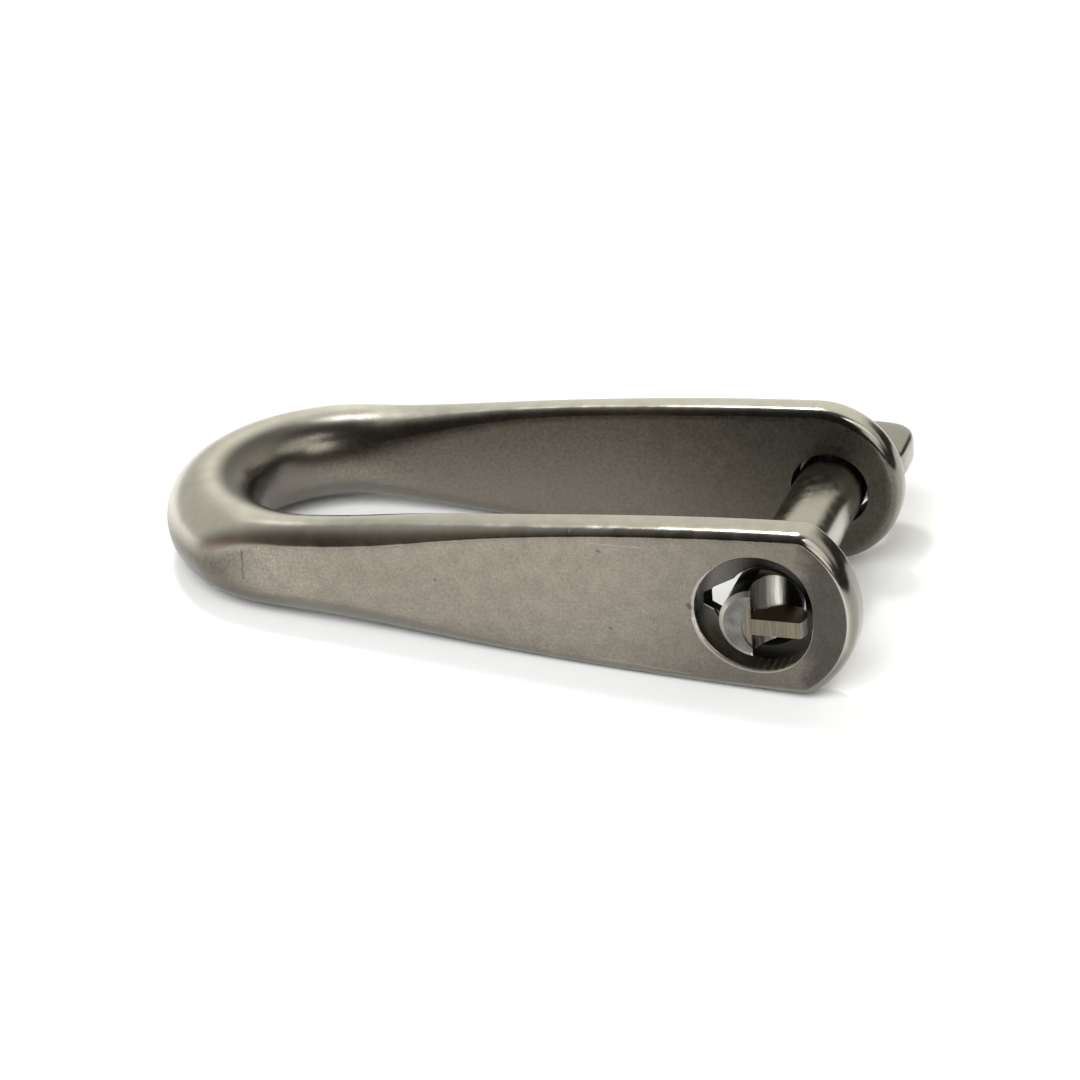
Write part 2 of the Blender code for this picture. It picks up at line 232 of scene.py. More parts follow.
def half_section(*shape):
    """Upper half of a section, from the middle of the outer side to the middle of the inner side."""
    angles = np.linspace(0.0, math.pi, SECTION_SAMPLES)
    outer, inner, half_height = shape[:3]
    middle = 0.5 * (outer - inner)
    run = 0.5 * (outer + inner) * np.cos(angles)
    rise = half_height * np.sin(angles)
    length = np.hypot(run, rise)
    run = run / length
    rise = rise / length
    low = np.zeros(SECTION_SAMPLES)
    high = np.full(SECTION_SAMPLES, half_height + ROD_RADIUS)
    for _ in range(SECTION_HALVINGS):
        reach = 0.5 * (low + high)
        distance = section_distance(middle + reach * run, reach * rise, *shape)
        low = np.where(distance < 0.0, reach, low)
        high = np.where(distance < 0.0, high, reach)
    return spread_by_turning(middle + low * run, low * rise)


def spread_by_turning(across, up):
    """Points along a half section, closer together where it turns."""
    steps = np.hypot(np.diff(across), np.diff(up))
    heading = np.unwrap(np.arctan2(np.diff(up), np.diff(across)))
    turning = np.abs(np.diff(heading))
    turning = 0.5 * (np.append(turning, 0.0) + np.insert(turning, 0, 0.0))
    share = (1.0 - TURNING_SHARE) * steps / steps.sum() + TURNING_SHARE * turning / turning.sum()
    along = np.insert(np.cumsum(share), 0, 0.0)
    wanted = np.linspace(0.0, along[-1], HALF_RING_STEPS + 1)
    return np.interp(wanted, along, across), np.interp(wanted, along, up)


def full_ring(across, up):
    """Whole section from its upper half."""
    return (
        np.concatenate([across, across[-2:0:-1]]),
        np.concatenate([up, -up[-2:0:-1]]),
    )


def bow_ring(angle):
    """Ring across the bow at an angle along its half ellipse, near arm first."""
    centre_x = BOW_START_X - BOW_REACH * math.sin(angle)
    centre_y = -ROD_CENTRE_Y * math.cos(angle)
    normal = np.array([-math.sin(angle) / BOW_REACH, -math.cos(angle) / ROD_CENTRE_Y])
    normal = normal / np.linalg.norm(normal)
    faded = ground_fades(centre_x)
    outer = ROD_RADIUS + GROUND_FADED_SOFTNESS
    if abs(normal[1]) > BOW_FLAT_NEEDS_SLOPE:
        flat = (ARM_OUTER_Y - abs(centre_y)) / abs(normal[1]) + GROUND_FADED_LIFT * faded
        outer = min(outer, flat)
    inner = ROD_CENTRE_Y - inner_face_y(centre_x)
    height = arm_half_height(centre_x)
    ground = GROUND_SOFTNESS + (GROUND_FADED_SOFTNESS - GROUND_SOFTNESS) * faded
    to_far_arm = smooth_step(0.5 * (1.0 + centre_y / ROD_CENTRE_Y))
    inside = NEAR_INNER_SOFTNESS + (FAR_INNER_SOFTNESS - NEAR_INNER_SOFTNESS) * to_far_arm
    across, up = full_ring(*half_section(outer, inner, height, ROUND_EXPONENT, ground, inside))
    return np.stack([centre_x + across * normal[0], centre_y + across * normal[1], up], axis=1)


def outline_ring(side, point, normal, half_height):
    """Ring of an arm or ear whose edge follows an outline point and its normal."""
    x_station = min(point[0], HEIGHT_FULL_AT_X)
    outer = ARM_OUTER_Y - ROD_CENTRE_Y
    inner = ROD_CENTRE_Y - inner_face_y(x_station)
    exponent = squareness(x_station)
    inside = FAR_INNER_SOFTNESS if side > 0.0 else NEAR_INNER_SOFTNESS
    shape = (outer, inner, half_height, exponent, GROUND_SOFTNESS, inside)
    across, up = full_ring(*half_section(*shape))
    depth = np.minimum(half_height - np.abs(up), EDGE_BAND)
    fraction = np.minimum(np.abs(up) / (half_height - EDGE_BAND), 1.0)
    x = point[0] - depth * normal[0]
    z = np.sign(up) * (point[1] - depth * normal[1]) * fraction
    return np.stack([x, side * (ROD_CENTRE_Y + across), z], axis=1)


def ear_shape(side):
    """Centre and radius of the end arc, and centre and radius of the softened corner."""
    if side > 0:
        return FAR_EAR_CENTRE_X, arm_half_height(FAR_EAR_CENTRE_X), FAR_EAR_CENTRE_X, 0.0
    reach = NEAR_EAR_RADIUS - NEAR_CORNER_RADIUS
    rise = ARM_HALF_HEIGHT - NEAR_CORNER_RADIUS
    corner_x = NEAR_EAR_CENTRE_X + math.sqrt(reach * reach - rise * rise)
    return NEAR_EAR_CENTRE_X, NEAR_EAR_RADIUS, corner_x, NEAR_CORNER_RADIUS


def arm_rings(side):
    rings = []
    end_x = ear_shape(side)[2]
    for step in range(ARM_STATIONS):
        x = BOW_START_X + (end_x - BOW_START_X) * (step + 1) / ARM_STATIONS
        height = arm_half_height(x)
        rings.append(outline_ring(side, (x, height), (0.0, 1.0), height))
    return rings


def arc_rings(side, centre, radius, angles, half_height):
    rings = []
    for angle in angles:
        normal = (math.cos(angle), math.sin(angle))
        point = (centre[0] + radius * normal[0], centre[1] + radius * normal[1])
        rings.append(outline_ring(side, point, normal, half_height))
    return rings


def steps_between(start, stop, count):
    return [start + (stop - start) * (step + 1) / count for step in range(count)]


def ear_rings(side):
    centre_x, radius, corner_x, corner_radius = ear_shape(side)
    height = arm_half_height(corner_x)
    quarter_turn = 0.5 * math.pi
    end_starts = quarter_turn
    rings = []
    if corner_radius > 0.0:
        corner = (corner_x, height - corner_radius)
        end_starts = math.atan2(corner[1], corner_x - centre_x)
        turns = steps_between(quarter_turn, end_starts, CORNER_STATIONS)
        rings = arc_rings(side, corner, corner_radius, turns, height)
    turns = steps_between(end_starts, math.radians(END_ANGLE_STOP), END_STATIONS)
    return rings + arc_rings(side, (centre_x, 0.0), radius, turns, height)


def close_by_halves(mesh, ring):
    """Close the tip of an ear, where the upper and lower halves of a ring face each other."""
    tip = max(vertex.co.x for vertex in ring)
    edge_x = tip - TIP_TOLERANCE * EDGE_BAND * MM
    on_edge = [index for index in range(1, HALF_RING_STEPS) if ring[index].co.x > edge_x]
    first = on_edge[0]
    last = on_edge[-1]
    for index in range(first, last):
        mesh.faces.new((ring[index], ring[index + 1], ring[-index - 1], ring[-index]))
    mesh.faces.new([ring[index] for index in range(first, -first - 1, -1)])
    mesh.faces.new([ring[index] for index in range(last, 2 * HALF_RING_STEPS - last + 1)])


def loft(mesh, rings):
    loops = [[mesh.verts.new(Vector(point) * MM) for point in ring] for ring in rings]
    for first, second in zip(loops, loops[1:]):
        count = len(first)
        for index in range(count):
            after = (index + 1) % count
            mesh.faces.new((first[index], first[after], second[after], second[index]))
    return loops


def finish_mesh(mesh, name):
    bmesh.ops.recalc_face_normals(mesh, faces=mesh.faces)
    data = bpy.data.meshes.new(name)
    mesh.to_mesh(data)
    mesh.free()
    thing = bpy.data.objects.new(name, data)
    bpy.context.scene.collection.objects.link(thing)
    return thing


def forging():
    near = arm_rings(-1.0) + ear_rings(-1.0)
    far = arm_rings(1.0) + ear_rings(1.0)
    bow = [bow_ring(math.pi * step / BOW_STATIONS) for step in range(BOW_STATIONS + 1)]
    mesh = bmesh.new()
    loops = loft(mesh, near[::-1] + bow + far)
    close_by_halves(mesh, loops[0])
    close_by_halves(mesh, loops[-1])
    return finish_mesh(mesh, "forged_body")


def closed_loft(name, rings):
    """Closed shape through rings, with a flat face at each end."""
    mesh = bmesh.new()
    loops = loft(mesh, rings)
    mesh.faces.new(loops[0])
    mesh.faces.new(loops[-1])
    return finish_mesh(mesh, name)


def cutter(name, outline_at, levels):
    """Closed cutter along Y: outline_at(growth) gives the outline, levels are (y, growth)."""
    return closed_loft(name, [[(x, y, z) for x, z in outline_at(growth)] for y, growth in levels])


def upright_cutter(name, outline, low, high):
    """Closed cutter along Z from an outline in X and Y."""
    return closed_loft(name, [[(x, y, z) for x, y in outline] for z in (low, high)])


def round_turns():
    return [2.0 * math.pi * (index + 0.5) / HOLE_SIDES for index in range(HOLE_SIDES)]


def oval(centre, half_width, half_height):
    points = []
    for turn in round_turns():
        across = half_width * math.cos(turn)
        up = half_height * math.sin(turn)
        points.append((centre[0] + across, centre[1] + up))
    return points


def circle(centre, radius):
    return oval(centre, radius, radius)


def recess_outline(growth):
    """Egg-shaped recess, a little longer and more pointed towards the bow."""
    points = []
    for turn in round_turns():
        run = math.cos(turn)
        rise = math.sin(turn)
        width = RECESS_RIGHT if run > 0.0 else RECESS_LEFT
        power = 2.0 / (RECESS_RIGHT_EXPONENT if run > 0.0 else RECESS_LEFT_EXPONENT)
        x = RECESS_CENTRE_X + (width + growth) * math.copysign(abs(run) ** power, run)
        z = (RECESS_HALF_HEIGHT + growth) * math.copysign(abs(rise) ** power, rise)
        points.append((x, z))
    return points


def step_outline(growth):
    """Shallow second step inside the recess."""
    return oval((STEP_CENTRE_X, 0.0), STEP_HALF_WIDTH + growth, STEP_HALF_HEIGHT + growth)


def hole_outline(growth):
    return circle((0.0, PIN_AXIS_Z), HOLE_RADIUS + growth)


def notch_outline(tip_x):
    """Tapering notch beside the hole, where the turned key passes; its mouth is inside the hole."""
    tip = NOTCH_MIDDLE_HALF_HEIGHT + NOTCH_SLOPE * (tip_x - NOTCH_MIDDLE_TIP_X)
    mouth = NOTCH_MIDDLE_HALF_HEIGHT + NOTCH_SLOPE * (NOTCH_MOUTH_X - NOTCH_MIDDLE_TIP_X)
    return [(tip_x, -tip), (NOTCH_MOUTH_X, -mouth), (NOTCH_MOUTH_X, mouth), (tip_x, tip)]


def notch_cutter():
    """The notch's end wall slopes, so that the notch narrows inwards."""
    ends = ((NOTCH_FRONT_TIP_X, NOTCH_CUT_FROM_Y), (NOTCH_BACK_TIP_X, NOTCH_CUT_TO_Y))
    return closed_loft("notch", [[(x, y, z) for x, z in notch_outline(tip_x)] for tip_x, y in ends])


def broken_edge(y, inward):
    """Levels of a cutter that leave a small broken edge where it meets a face at y."""
    levels = [(y - inward * RIM_RUN, RIM_BREAK + RIM_RUN)]
    for depth, growth in RIM_BREAK_STEPS:
        levels.append((y + inward * depth * RIM_BREAK, growth * RIM_BREAK))
    return levels


def combine(target, tool, operation):
    tool.hide_render = True
    tool.display_type = "WIRE"
    step = target.modifiers.new("combine", "BOOLEAN")
    step.operation = operation
    step.solver = "EXACT"
    step.object = tool
    evaluated = target.evaluated_get(bpy.context.evaluated_depsgraph_get())
    result = bpy.data.meshes.new_from_object(evaluated)
    target.modifiers.clear()
    target.data = result
    bpy.data.objects.remove(tool, do_unlink=True)


def shade(thing):
    for polygon in thing.data.polygons:
        polygon.use_smooth = True
    thing.data.set_sharp_from_angle(angle=math.radians(SHARP_ANGLE))
    weigh = thing.modifiers.new("weigh_normals", "WEIGHTED_NORMAL")
    weigh.keep_sharp = True
    weigh.mode = "FACE_AREA"


def forged_body():
    body = forging()
    levels = broken_edge(-ARM_OUTER_Y, 1.0) + [(RECESS_FLOOR_Y, 0.0)]
    combine(body, cutter("recess", recess_outline, levels), "DIFFERENCE")
    levels = [(-ARM_OUTER_Y, 0.0), (STEP_FLOOR_Y, 0.0)]
    combine(body, cutter("step", step_outline, levels), "DIFFERENCE")
    levels = broken_edge(STEP_FLOOR_Y, 1.0) + broken_edge(-ARM_INNER_Y, -1.0)[::-1]
    combine(body, cutter("near_hole", hole_outline, levels), "DIFFERENCE")
    combine(body, notch_cutter(), "DIFFERENCE")
    levels = broken_edge(ARM_INNER_Y, 1.0) + broken_edge(ARM_OUTER_Y, -1.0)[::-1]
    combine(body, cutter("far_hole", hole_outline, levels), "DIFFERENCE")
    shade(body)
    return body


def pin_ring(y, half_width, half_thickness, exponent=2.0):
    points = []
    power = 2.0 / exponent
    for index in range(PIN_SIDES):
        turn = 2.0 * math.pi * index / PIN_SIDES
        run = math.cos(turn)
        rise = math.sin(turn)
        x = half_width * math.copysign(abs(run) ** power, run)
        z = half_thickness * math.copysign(abs(rise) ** power, rise)
        points.append((x, y, z))
    return points


def paddle_half_width(y):
    part = clamp01(abs(y - PADDLE_CENTRE_Y) / PADDLE_HALF_LENGTH)
    outline = PADDLE_HALF_WIDTH * (1.0 - part ** PADDLE_EXPONENT) ** (1.0 / PADDLE_EXPONENT)
    if y < PADDLE_CENTRE_Y:
        return max(outline, PIN_RADIUS)
    return outline


def paddle_flatness(y):
    return smooth_step((y - SHANK_END_Y) / (PADDLE_FLAT_FROM_Y - SHANK_END_Y))


def paddle_half_thickness(y):
    thickness = PIN_RADIUS + (PADDLE_HALF_THICKNESS - PIN_RADIUS) * paddle_flatness(y)
    part = clamp01((y - PADDLE_CENTRE_Y) / PADDLE_HALF_LENGTH)
    return thickness * math.sqrt(1.0 - part ** PADDLE_TIP_EXPONENT)


def pin_blank():
    """Chamfered round shank that flattens and widens into the thumb paddle."""
    end_radius = PIN_RADIUS - PIN_CHAMFER
    rings = [
        pin_ring(PIN_NEAR_Y, end_radius, end_radius),
        pin_ring(PIN_NEAR_Y + PIN_CHAMFER_DEPTH, PIN_RADIUS, PIN_RADIUS),
        pin_ring(SHANK_END_Y, PIN_RADIUS, PIN_RADIUS),
    ]
    paddle_end_y = PADDLE_CENTRE_Y + PADDLE_HALF_LENGTH
    for step in range(1, PADDLE_STATIONS):
        turn = 0.5 * math.pi * step / PADDLE_STATIONS
        y = SHANK_END_Y + (paddle_end_y - SHANK_END_Y) * math.sin(turn)
        exponent = 2.0 + (PADDLE_SECTION_EXPONENT - 2.0) * paddle_flatness(y)
        rings.append(pin_ring(y, paddle_half_width(y), paddle_half_thickness(y), exponent))
    return closed_loft("keyed_pin", rings)


def key_outline():
    """Key seen from above: a disc with its front cut flat, and a root that enters the pin."""
    front = math.asin((KEY_FRONT_Y - KEY_CENTRE_Y) / KEY_RADIUS)
    back = math.pi - math.asin((KEY_ROOT_BACK_Y - KEY_CENTRE_Y) / KEY_RADIUS)
    points = []
    for index in range(KEY_STEPS + 1):
        turn = front + (back - front) * index / KEY_STEPS
        x = KEY_CENTRE_X + KEY_RADIUS * math.cos(turn)
        points.append((x, KEY_CENTRE_Y + KEY_RADIUS * math.sin(turn)))
    points.append((KEY_ROOT_X, KEY_ROOT_BACK_Y))
    points.append((KEY_ROOT_X, KEY_FRONT_Y))
    return points


def milled_step_outline(growth):
    return circle((MILLED_STEP_X, 0.5 * (KEY_TOP_Z + KEY_BOTTOM_Z)), MILLED_STEP_RADIUS + growth)


def keyed_pin():
    pin = pin_blank()
    step_levels = [(PIN_NEAR_Y - CUTTER_OVERRUN, 0.0), (KEY_FRONT_Y - MILLED_STEP_DEEPER, 0.0)]
    combine(pin, cutter("milled_step", milled_step_outline, step_levels), "DIFFERENCE")
    pocket = circle((POCKET_CENTRE_X, POCKET_CENTRE_Y), POCKET_RADIUS)
    reach = POCKET_CUTTER_HALF_HEIGHT
    combine(pin, upright_cutter("pocket", pocket, -reach, reach), "DIFFERENCE")
    combine(pin, upright_cutter("key", key_outline(), KEY_BOTTOM_Z, KEY_TOP_Z), "UNION")
    lanyard = circle((0.0, LANYARD_HOLE_Y), LANYARD_HOLE_RADIUS)
    reach = LANYARD_CUTTER_HALF_HEIGHT
    combine(pin, upright_cutter("lanyard_hole", lanyard, -reach, reach), "DIFFERENCE")
    shade(pin)
    return pin


# ---------------------------------------------------------------- placing

MIDDLE_OF_ARMS_X = 0.5 * BOW_START_X


def resting_tip(body):
    """Angle about Y at which the bow and both ears touch the floor together."""
    points = np.empty(len(body.data.vertices) * 3)
    body.data.vertices.foreach_get("co", points)
    points = points.reshape(-1, 3)
    run = (HEIGHT_FULL_AT_X - BOW_START_X) * MM
    tip = 0.0
    for _ in range(TIPPING_STEPS):
        height = points[:, 0] * math.sin(tip) + points[:, 2] * math.cos(tip)
        at_ears = points[:, 0] * math.cos(tip) > MIDDLE_OF_ARMS_X * MM
        tip += (height[~at_ears].min() - height[at_ears].min()) / run
    return tip


def place(body, pin, tip):
    """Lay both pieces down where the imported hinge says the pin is."""
    hinge = Vector(frame["joints"][0]["pos_m"])
    turned = Matrix.Rotation(-tip, 4, "Y")
    to_axis = Vector((0.0, 0.0, PIN_AXIS_Z * MM))
    body.data.transform(turned @ Matrix.Translation(-to_axis))
    pin.data.transform(turned)
    body.location = hinge
    pin.location = hinge
    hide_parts("shackle_body")
    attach(body, "shackle")
    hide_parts("key_pin")
    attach(pin, "pin")


# ---------------------------------------------------------------- shader helpers

def add(tree, kind, inputs=None, **settings):
    node = tree.nodes.new(kind)
    for key, value in settings.items():
        setattr(node, key, value)
    for key, value in (inputs or {}).items():
        if isinstance(value, bpy.types.NodeSocket):
            tree.links.new(value, node.inputs[key])
        else:
            node.inputs[key].default_value = value
    return node


def calc(tree, operation, first, second=0.0):
    return add(tree, "ShaderNodeMath", {0: first, 1: second}, operation=operation).outputs[0]


def vector_calc(tree, operation, first, second=(0.0, 0.0, 0.0)):
    node = add(tree, "ShaderNodeVectorMath", {0: first, 1: second}, operation=operation)
    return node.outputs["Value" if operation in ("LENGTH", "DOT_PRODUCT") else "Vector"]


def ramp(tree, value, low, high, out_low=0.0, out_high=1.0):
    inputs = {0: value, 1: low, 2: high, 3: out_low, 4: out_high}
    node = add(tree, "ShaderNodeMapRange", inputs, interpolation_type="SMOOTHSTEP")
    return node.outputs[0]


def noise(tree, place_at, scale, detail=2.0, roughness=0.5, stretch=(1.0, 1.0, 1.0)):
    moved = vector_calc(tree, "MULTIPLY", place_at, stretch)
    inputs = {"Vector": moved, "Scale": scale, "Detail": detail, "Roughness": roughness}
    return add(tree, "ShaderNodeTexNoise", inputs).outputs["Fac"]


def blend_colour(tree, share, first, second):
    node = tree.nodes.new("ShaderNodeMix")
    node.data_type = "RGBA"
    for key, value in (("Factor", share), ("A", first), ("B", second)):
        socket = [s for s in node.inputs if s.name == key and s.enabled][0]
        if isinstance(value, bpy.types.NodeSocket):
            tree.links.new(value, socket)
        else:
            socket.default_value = value
    return [s for s in node.outputs if s.enabled][0]


def blend_value(tree, share, first, second):
    node = add(tree, "ShaderNodeMix", {0: share, 2: first, 3: second})
    return node.outputs[0]


def stood_up(tree, vector, tip):
    """A vector of the laid-down piece, turned back to the local axes of the shape."""
    inputs = {"Vector": vector, "Axis": (0.0, 1.0, 0.0), "Angle": tip}
    return add(tree, "ShaderNodeVectorRotate", inputs, rotation_type="AXIS_ANGLE").outputs["Vector"]


def times(tree, *factors):
    product = factors[0]
    for factor in factors[1:]:
        product = calc(tree, "MULTIPLY", product, factor)
    return product


def opposite(tree, value):
    return calc(tree, "SUBTRACT", 1.0, value)


def axes(tree, vector):
    return add(tree, "ShaderNodeSeparateXYZ", {0: vector}).outputs


def brighten(tree, colour, factor):
    if not isinstance(colour, bpy.types.NodeSocket):
        colour = colour[:3]
    node = add(tree, "ShaderNodeVectorMath", {0: colour, "Scale": factor}, operation="SCALE")
    return node.outputs["Vector"]


class Surface:
    """A metal's node tree, with local positions in millimetres and local normals."""

    def __init__(self, name, tip):
        self.material = bpy.data.materials.new(name)
        self.material.use_nodes = True
        self.tree = self.material.node_tree
        self.shader = self.tree.nodes["Principled BSDF"]
        self.shader.inputs["Metallic"].default_value = 1.0
        where = add(self.tree, "ShaderNodeTexCoord")
        local = {0: stood_up(self.tree, where.outputs["Object"], tip), "Scale": 1.0 / MM}
        scaled = add(self.tree, "ShaderNodeVectorMath", local, operation="SCALE")
        self.at = scaled.outputs["Vector"]
        self.x, self.y, self.z = axes(self.tree, self.at)
        normal = stood_up(self.tree, where.outputs["Normal"], tip)
        self.nx, self.ny, self.nz = axes(self.tree, normal)

    def finished(self, colour, rough, normal):
        for name, value in (("Base Color", colour), ("Roughness", rough), ("Normal", normal)):
            self.tree.links.new(value, self.shader.inputs[name])
        return self.material


def near_segment(tree, at, start, end, inner, outer):
    """1 within the inner distance of a segment, 0 beyond the outer distance."""
    line = Vector(end) - Vector(start)
    offset = vector_calc(tree, "SUBTRACT", at, start)
    along = vector_calc(tree, "DOT_PRODUCT", offset, tuple(line / line.length_squared))
    along = calc(tree, "MAXIMUM", calc(tree, "MINIMUM", along, 1.0), 0.0)
    foot = add(tree, "ShaderNodeVectorMath", {0: tuple(line), "Scale": along}, operation="SCALE")
    away = vector_calc(tree, "SUBTRACT", offset, foot.outputs["Vector"])
    return ramp(tree, vector_calc(tree, "LENGTH", away), inner, outer, 1.0, 0.0)


# ---------------------------------------------------------------- materials
# Shader positions are in millimetres, with X and Z measured from the pin's axis. A pair of numbers
# on a place, a facing or a pattern says where a finish starts and where it is full.

SATIN_COLOUR = (0.293, 0.265, 0.222, 1.0)
# Dark colour of pits and the chip, and of the painted shade on the ground face
STAIN_AND_SHADE_COLOUR = (0.072, 0.066, 0.058, 1.0)
POLISHED_COLOUR = (0.47, 0.455, 0.405, 1.0)
SHOULDER_REFLECTION_COLOUR = (0.13, 0.09, 0.06, 1.0)
BOW_INNER_SHADE_COLOUR = (0.10, 0.095, 0.085, 1.0)
INNER_COLOUR = (0.215, 0.192, 0.16, 1.0)
INNER_EAR_SHADE_COLOUR = (0.125, 0.115, 0.095, 1.0)
DULL_END_AND_SHADE_COLOUR = (0.17, 0.16, 0.14, 1.0)
RECESS_SHADE_COLOUR = (0.115, 0.11, 0.10, 1.0)
LIT_WALL_COLOUR = (0.72, 0.66, 0.56, 1.0)
PAINTED_SHADE_COLOUR = (0.02, 0.018, 0.015, 1.0)
RIM_HIGHLIGHT_COLOUR = (0.62, 0.60, 0.55, 1.0)
SCRATCH_COLOUR = (0.50, 0.48, 0.43, 1.0)
SHANK_COLOUR = (0.44, 0.42, 0.37, 1.0)
PIN_END_COLOUR = (0.165, 0.16, 0.15, 1.0)
KEY_COLOUR = (0.18, 0.165, 0.14, 1.0)
KEY_GOLD_COLOUR = (0.20, 0.165, 0.11, 1.0)
# Painted highlight of the pocket wall, and painted dark brown reflection on the key's top
POCKET_HIGHLIGHT_COLOUR = (0.95, 0.93, 0.86, 1.0)
KEY_TOP_REFLECTION_COLOUR = (0.16, 0.12, 0.085, 1.0)
PADDLE_COLOUR = (0.30, 0.29, 0.26, 1.0)

# Noise patterns of the forging: scale, detail, roughness
GRAIN_NOISE = (4.2, 5.0, 0.68)
FINE_NOISE = (11.0, 3.0, 0.65)
MOTTLE_NOISE = (0.8, 4.0, 0.55)
PATTERN_RANGE = (0.3, 0.7)
FINE_RANGE = (0.35, 0.65)

# Satin ground faces
FLAT_NY = (0.95, 0.985)
OUTER_FACE_AWAY = (10.75, 10.95)
GRAIN_SHARE = 0.45
SPECKLE_RANGE = (0.32, 0.68)
SPECKLE_BRIGHTNESS = (0.68, 1.3)
SATIN_BRIGHTNESS = (0.92, 1.06)
# Darkening of the ground face: painted shade, partly stain; low down it is painted shade only
STAIN_AND_SHADE_GROWS_X = (-13.0, 1.0)
STAIN_AND_SHADE_NEAR_EAR = 0.4
LOW_SHADE_Z = (1.5, -3.0)
LOW_SHADE_X = (-12.0, -2.0)
LOW_SHADE = 0.1
STAIN_AND_SHADE_END_X = (1.2, 4.2)
STAIN_AND_SHADE_END_RAGGED = 3.0
STAIN_AND_SHADE_END = 0.95

# Polished edges and the bow
POLISHED_BRIGHTNESS = (0.93, 1.04)
# Painted highlight: polished edges brighter towards the bow and on the far arm
BOW_PAINTED_HIGHLIGHT_X = (-29.0, -37.0)
BOW_PAINTED_HIGHLIGHT = 1.3
FAR_ARM_PAINTED_HIGHLIGHT_Y = (7.5, 9.0)
FAR_ARM_PAINTED_HIGHLIGHT = 1.2
TOWARDS_BOW_X = (-33.0, -36.0)
BOW_OUTWARD_SHARE = (0.25, 0.75)
BOW_SATIN_NZ = (0.6, 0.0)
# Painted shade low down on the bow
LOW_BOW_X = (-36.0, -40.0)
LOW_BOW_NZ = (0.5, 0.0)
LOW_BOW = 0.5
# Rounded shoulder above the ground face, painted brown as a reflection
SHOULDER_NY = (0.5, 0.9)
SHOULDER_NZ = (0.05, 0.35)
SHOULDER_AWAY = (9.2, 10.6)
SHOULDER = 0.8
# Painted shade on the bow's inside
BOW_INWARD_SHARE = (0.0, -0.4)

# Inner faces, ends of the ears and underneath
# Inner faces: duller, with painted shade that darkens them towards the ears
INNER_SHARE = (-0.45, -0.85)
INNER_DARKENS_X = (-14.0, 3.0)
INNER_WANDER = 8.0
INNER_BRIGHTNESS = (0.8, 1.2)
# Ends of the ears dull and partly painted shade; faces looking down carry painted shade
EAR_END_NX = (0.35, 0.85)
EAR_END = 0.8
UNDERSIDE_SHADE_NZ = (0.0, -0.35)
UNDERSIDE_SHADE = 0.85

# Key recess and hole
RECESS_FRONT_Y = (-11.0, -10.9)
RECESS_BACK_Y = (-8.6, -8.9)
RECESS_EGG = (1.01, 1.04)
LEDGE_BRIGHTNESS = (0.85, 1.15)
# Painted shade on the ledge, deepest towards the pin
LEDGE_DARKENS_X = (-3.8, -0.3)
LEDGE_DARKENING = (1.1, 0.3)
# Painted light on the lower wall, which faces up
LOWER_WALL_NZ = (0.15, 0.6)
CHATTER_PITCH = 11.4
CHATTER_WAVE = (-0.2, 0.9)
CHATTER_BRIGHTNESS = (0.75, 1.7)
CHATTER_STARTS_X = (-0.9, 0.4)
CHATTER_STOPS_X = (2.2, 1.8)
CHATTER_NZ = (0.3, 0.7)
# Painted shade, black, in the hole and behind the ledge
HOLE_SHADE_CENTRE_Z = -0.15
HOLE_SHADE_RADIUS = (3.0, 2.92)
HOLE_SHADE_FRONT_Y = (-9.32, -9.2)
HOLE_SHADE_BACK_Y = (-8.2, -8.4)
# Painted highlight along the recess's broken edge
RIM_FRONT_Y = (-10.75, -10.95)
RIM_INNER_EGG = (0.97, 1.0)
RIM_OUTER_EGG = (1.0, 1.02)
RIM_WIDENS_X = (-3.2, -4.6)
RIM_WIDTH = (0.03, 0.1)
RIM = 0.45

# Handling marks, as pairs of ends with a half width
DARK_MARKS = (
    ((-37.59, -10.9, 1.55), (-37.67, -10.9, -0.6), 0.05),
    ((-11.21, -11.0, 4.0), (-11.14, -11.0, 3.97), 0.06),
    ((-10.67, -11.0, -1.91), (-10.6, -11.0, -1.95), 0.06),
    ((-23.28, -11.0, 0.65), (-23.22, -11.0, 0.7), 0.05),
    ((-11.24, -9.17, 5.53), (-10.61, -9.59, 5.56), 0.04),
)
LIGHT_MARKS = (
    ((-12.03, -11.0, 4.54), (-8.12, -11.0, 4.51), 0.02),
    ((-11.55, -11.0, -4.35), (-5.12, -11.0, -4.96), 0.02),
    ((-29.3, -10.2, 4.3), (-28.8, -10.67, 3.88), 0.05),
    ((-13.4, -8.8, 5.4), (-13.3, -10.8, 5.2), 0.05),
)
# Faceted stretch of the recess rim, painted with bright highlight stripes
RIM_FACET = ((-4.55, -11.0, -0.65), (-4.0, -11.0, -1.85), 0.14)
RIM_CHIP = ((-4.95, -11.0, 0.42), (-4.85, -11.0, 0.26), 0.1)
MARK_FADE = 2.5
SCRATCH = 0.4
PIT = 0.6
CHIP = 0.7
STRIPE_STRETCH = (9.0, 0.1, 9.0)
STRIPE_RANGE = (0.4, 0.6)

# Roughness and bump of the forging
SATIN_ROUGHNESS = (0.34, 0.48)
POLISHED_ROUGHNESS = (0.13, 0.22)
BOW_ROUGHNESS_X = (-30.0, -36.0)
BOW_ROUGHNESS = 0.28
RECESS_ROUGHNESS = 0.3
# Roughness under the painted shade
HOLE_SHADE_ROUGHNESS = 0.9
MOTTLE_HEIGHT = 1.5
MARK_DEPTH = 1.5
FORGED_BUMP = 0.4
FORGED_BUMP_DISTANCE = 0.00002


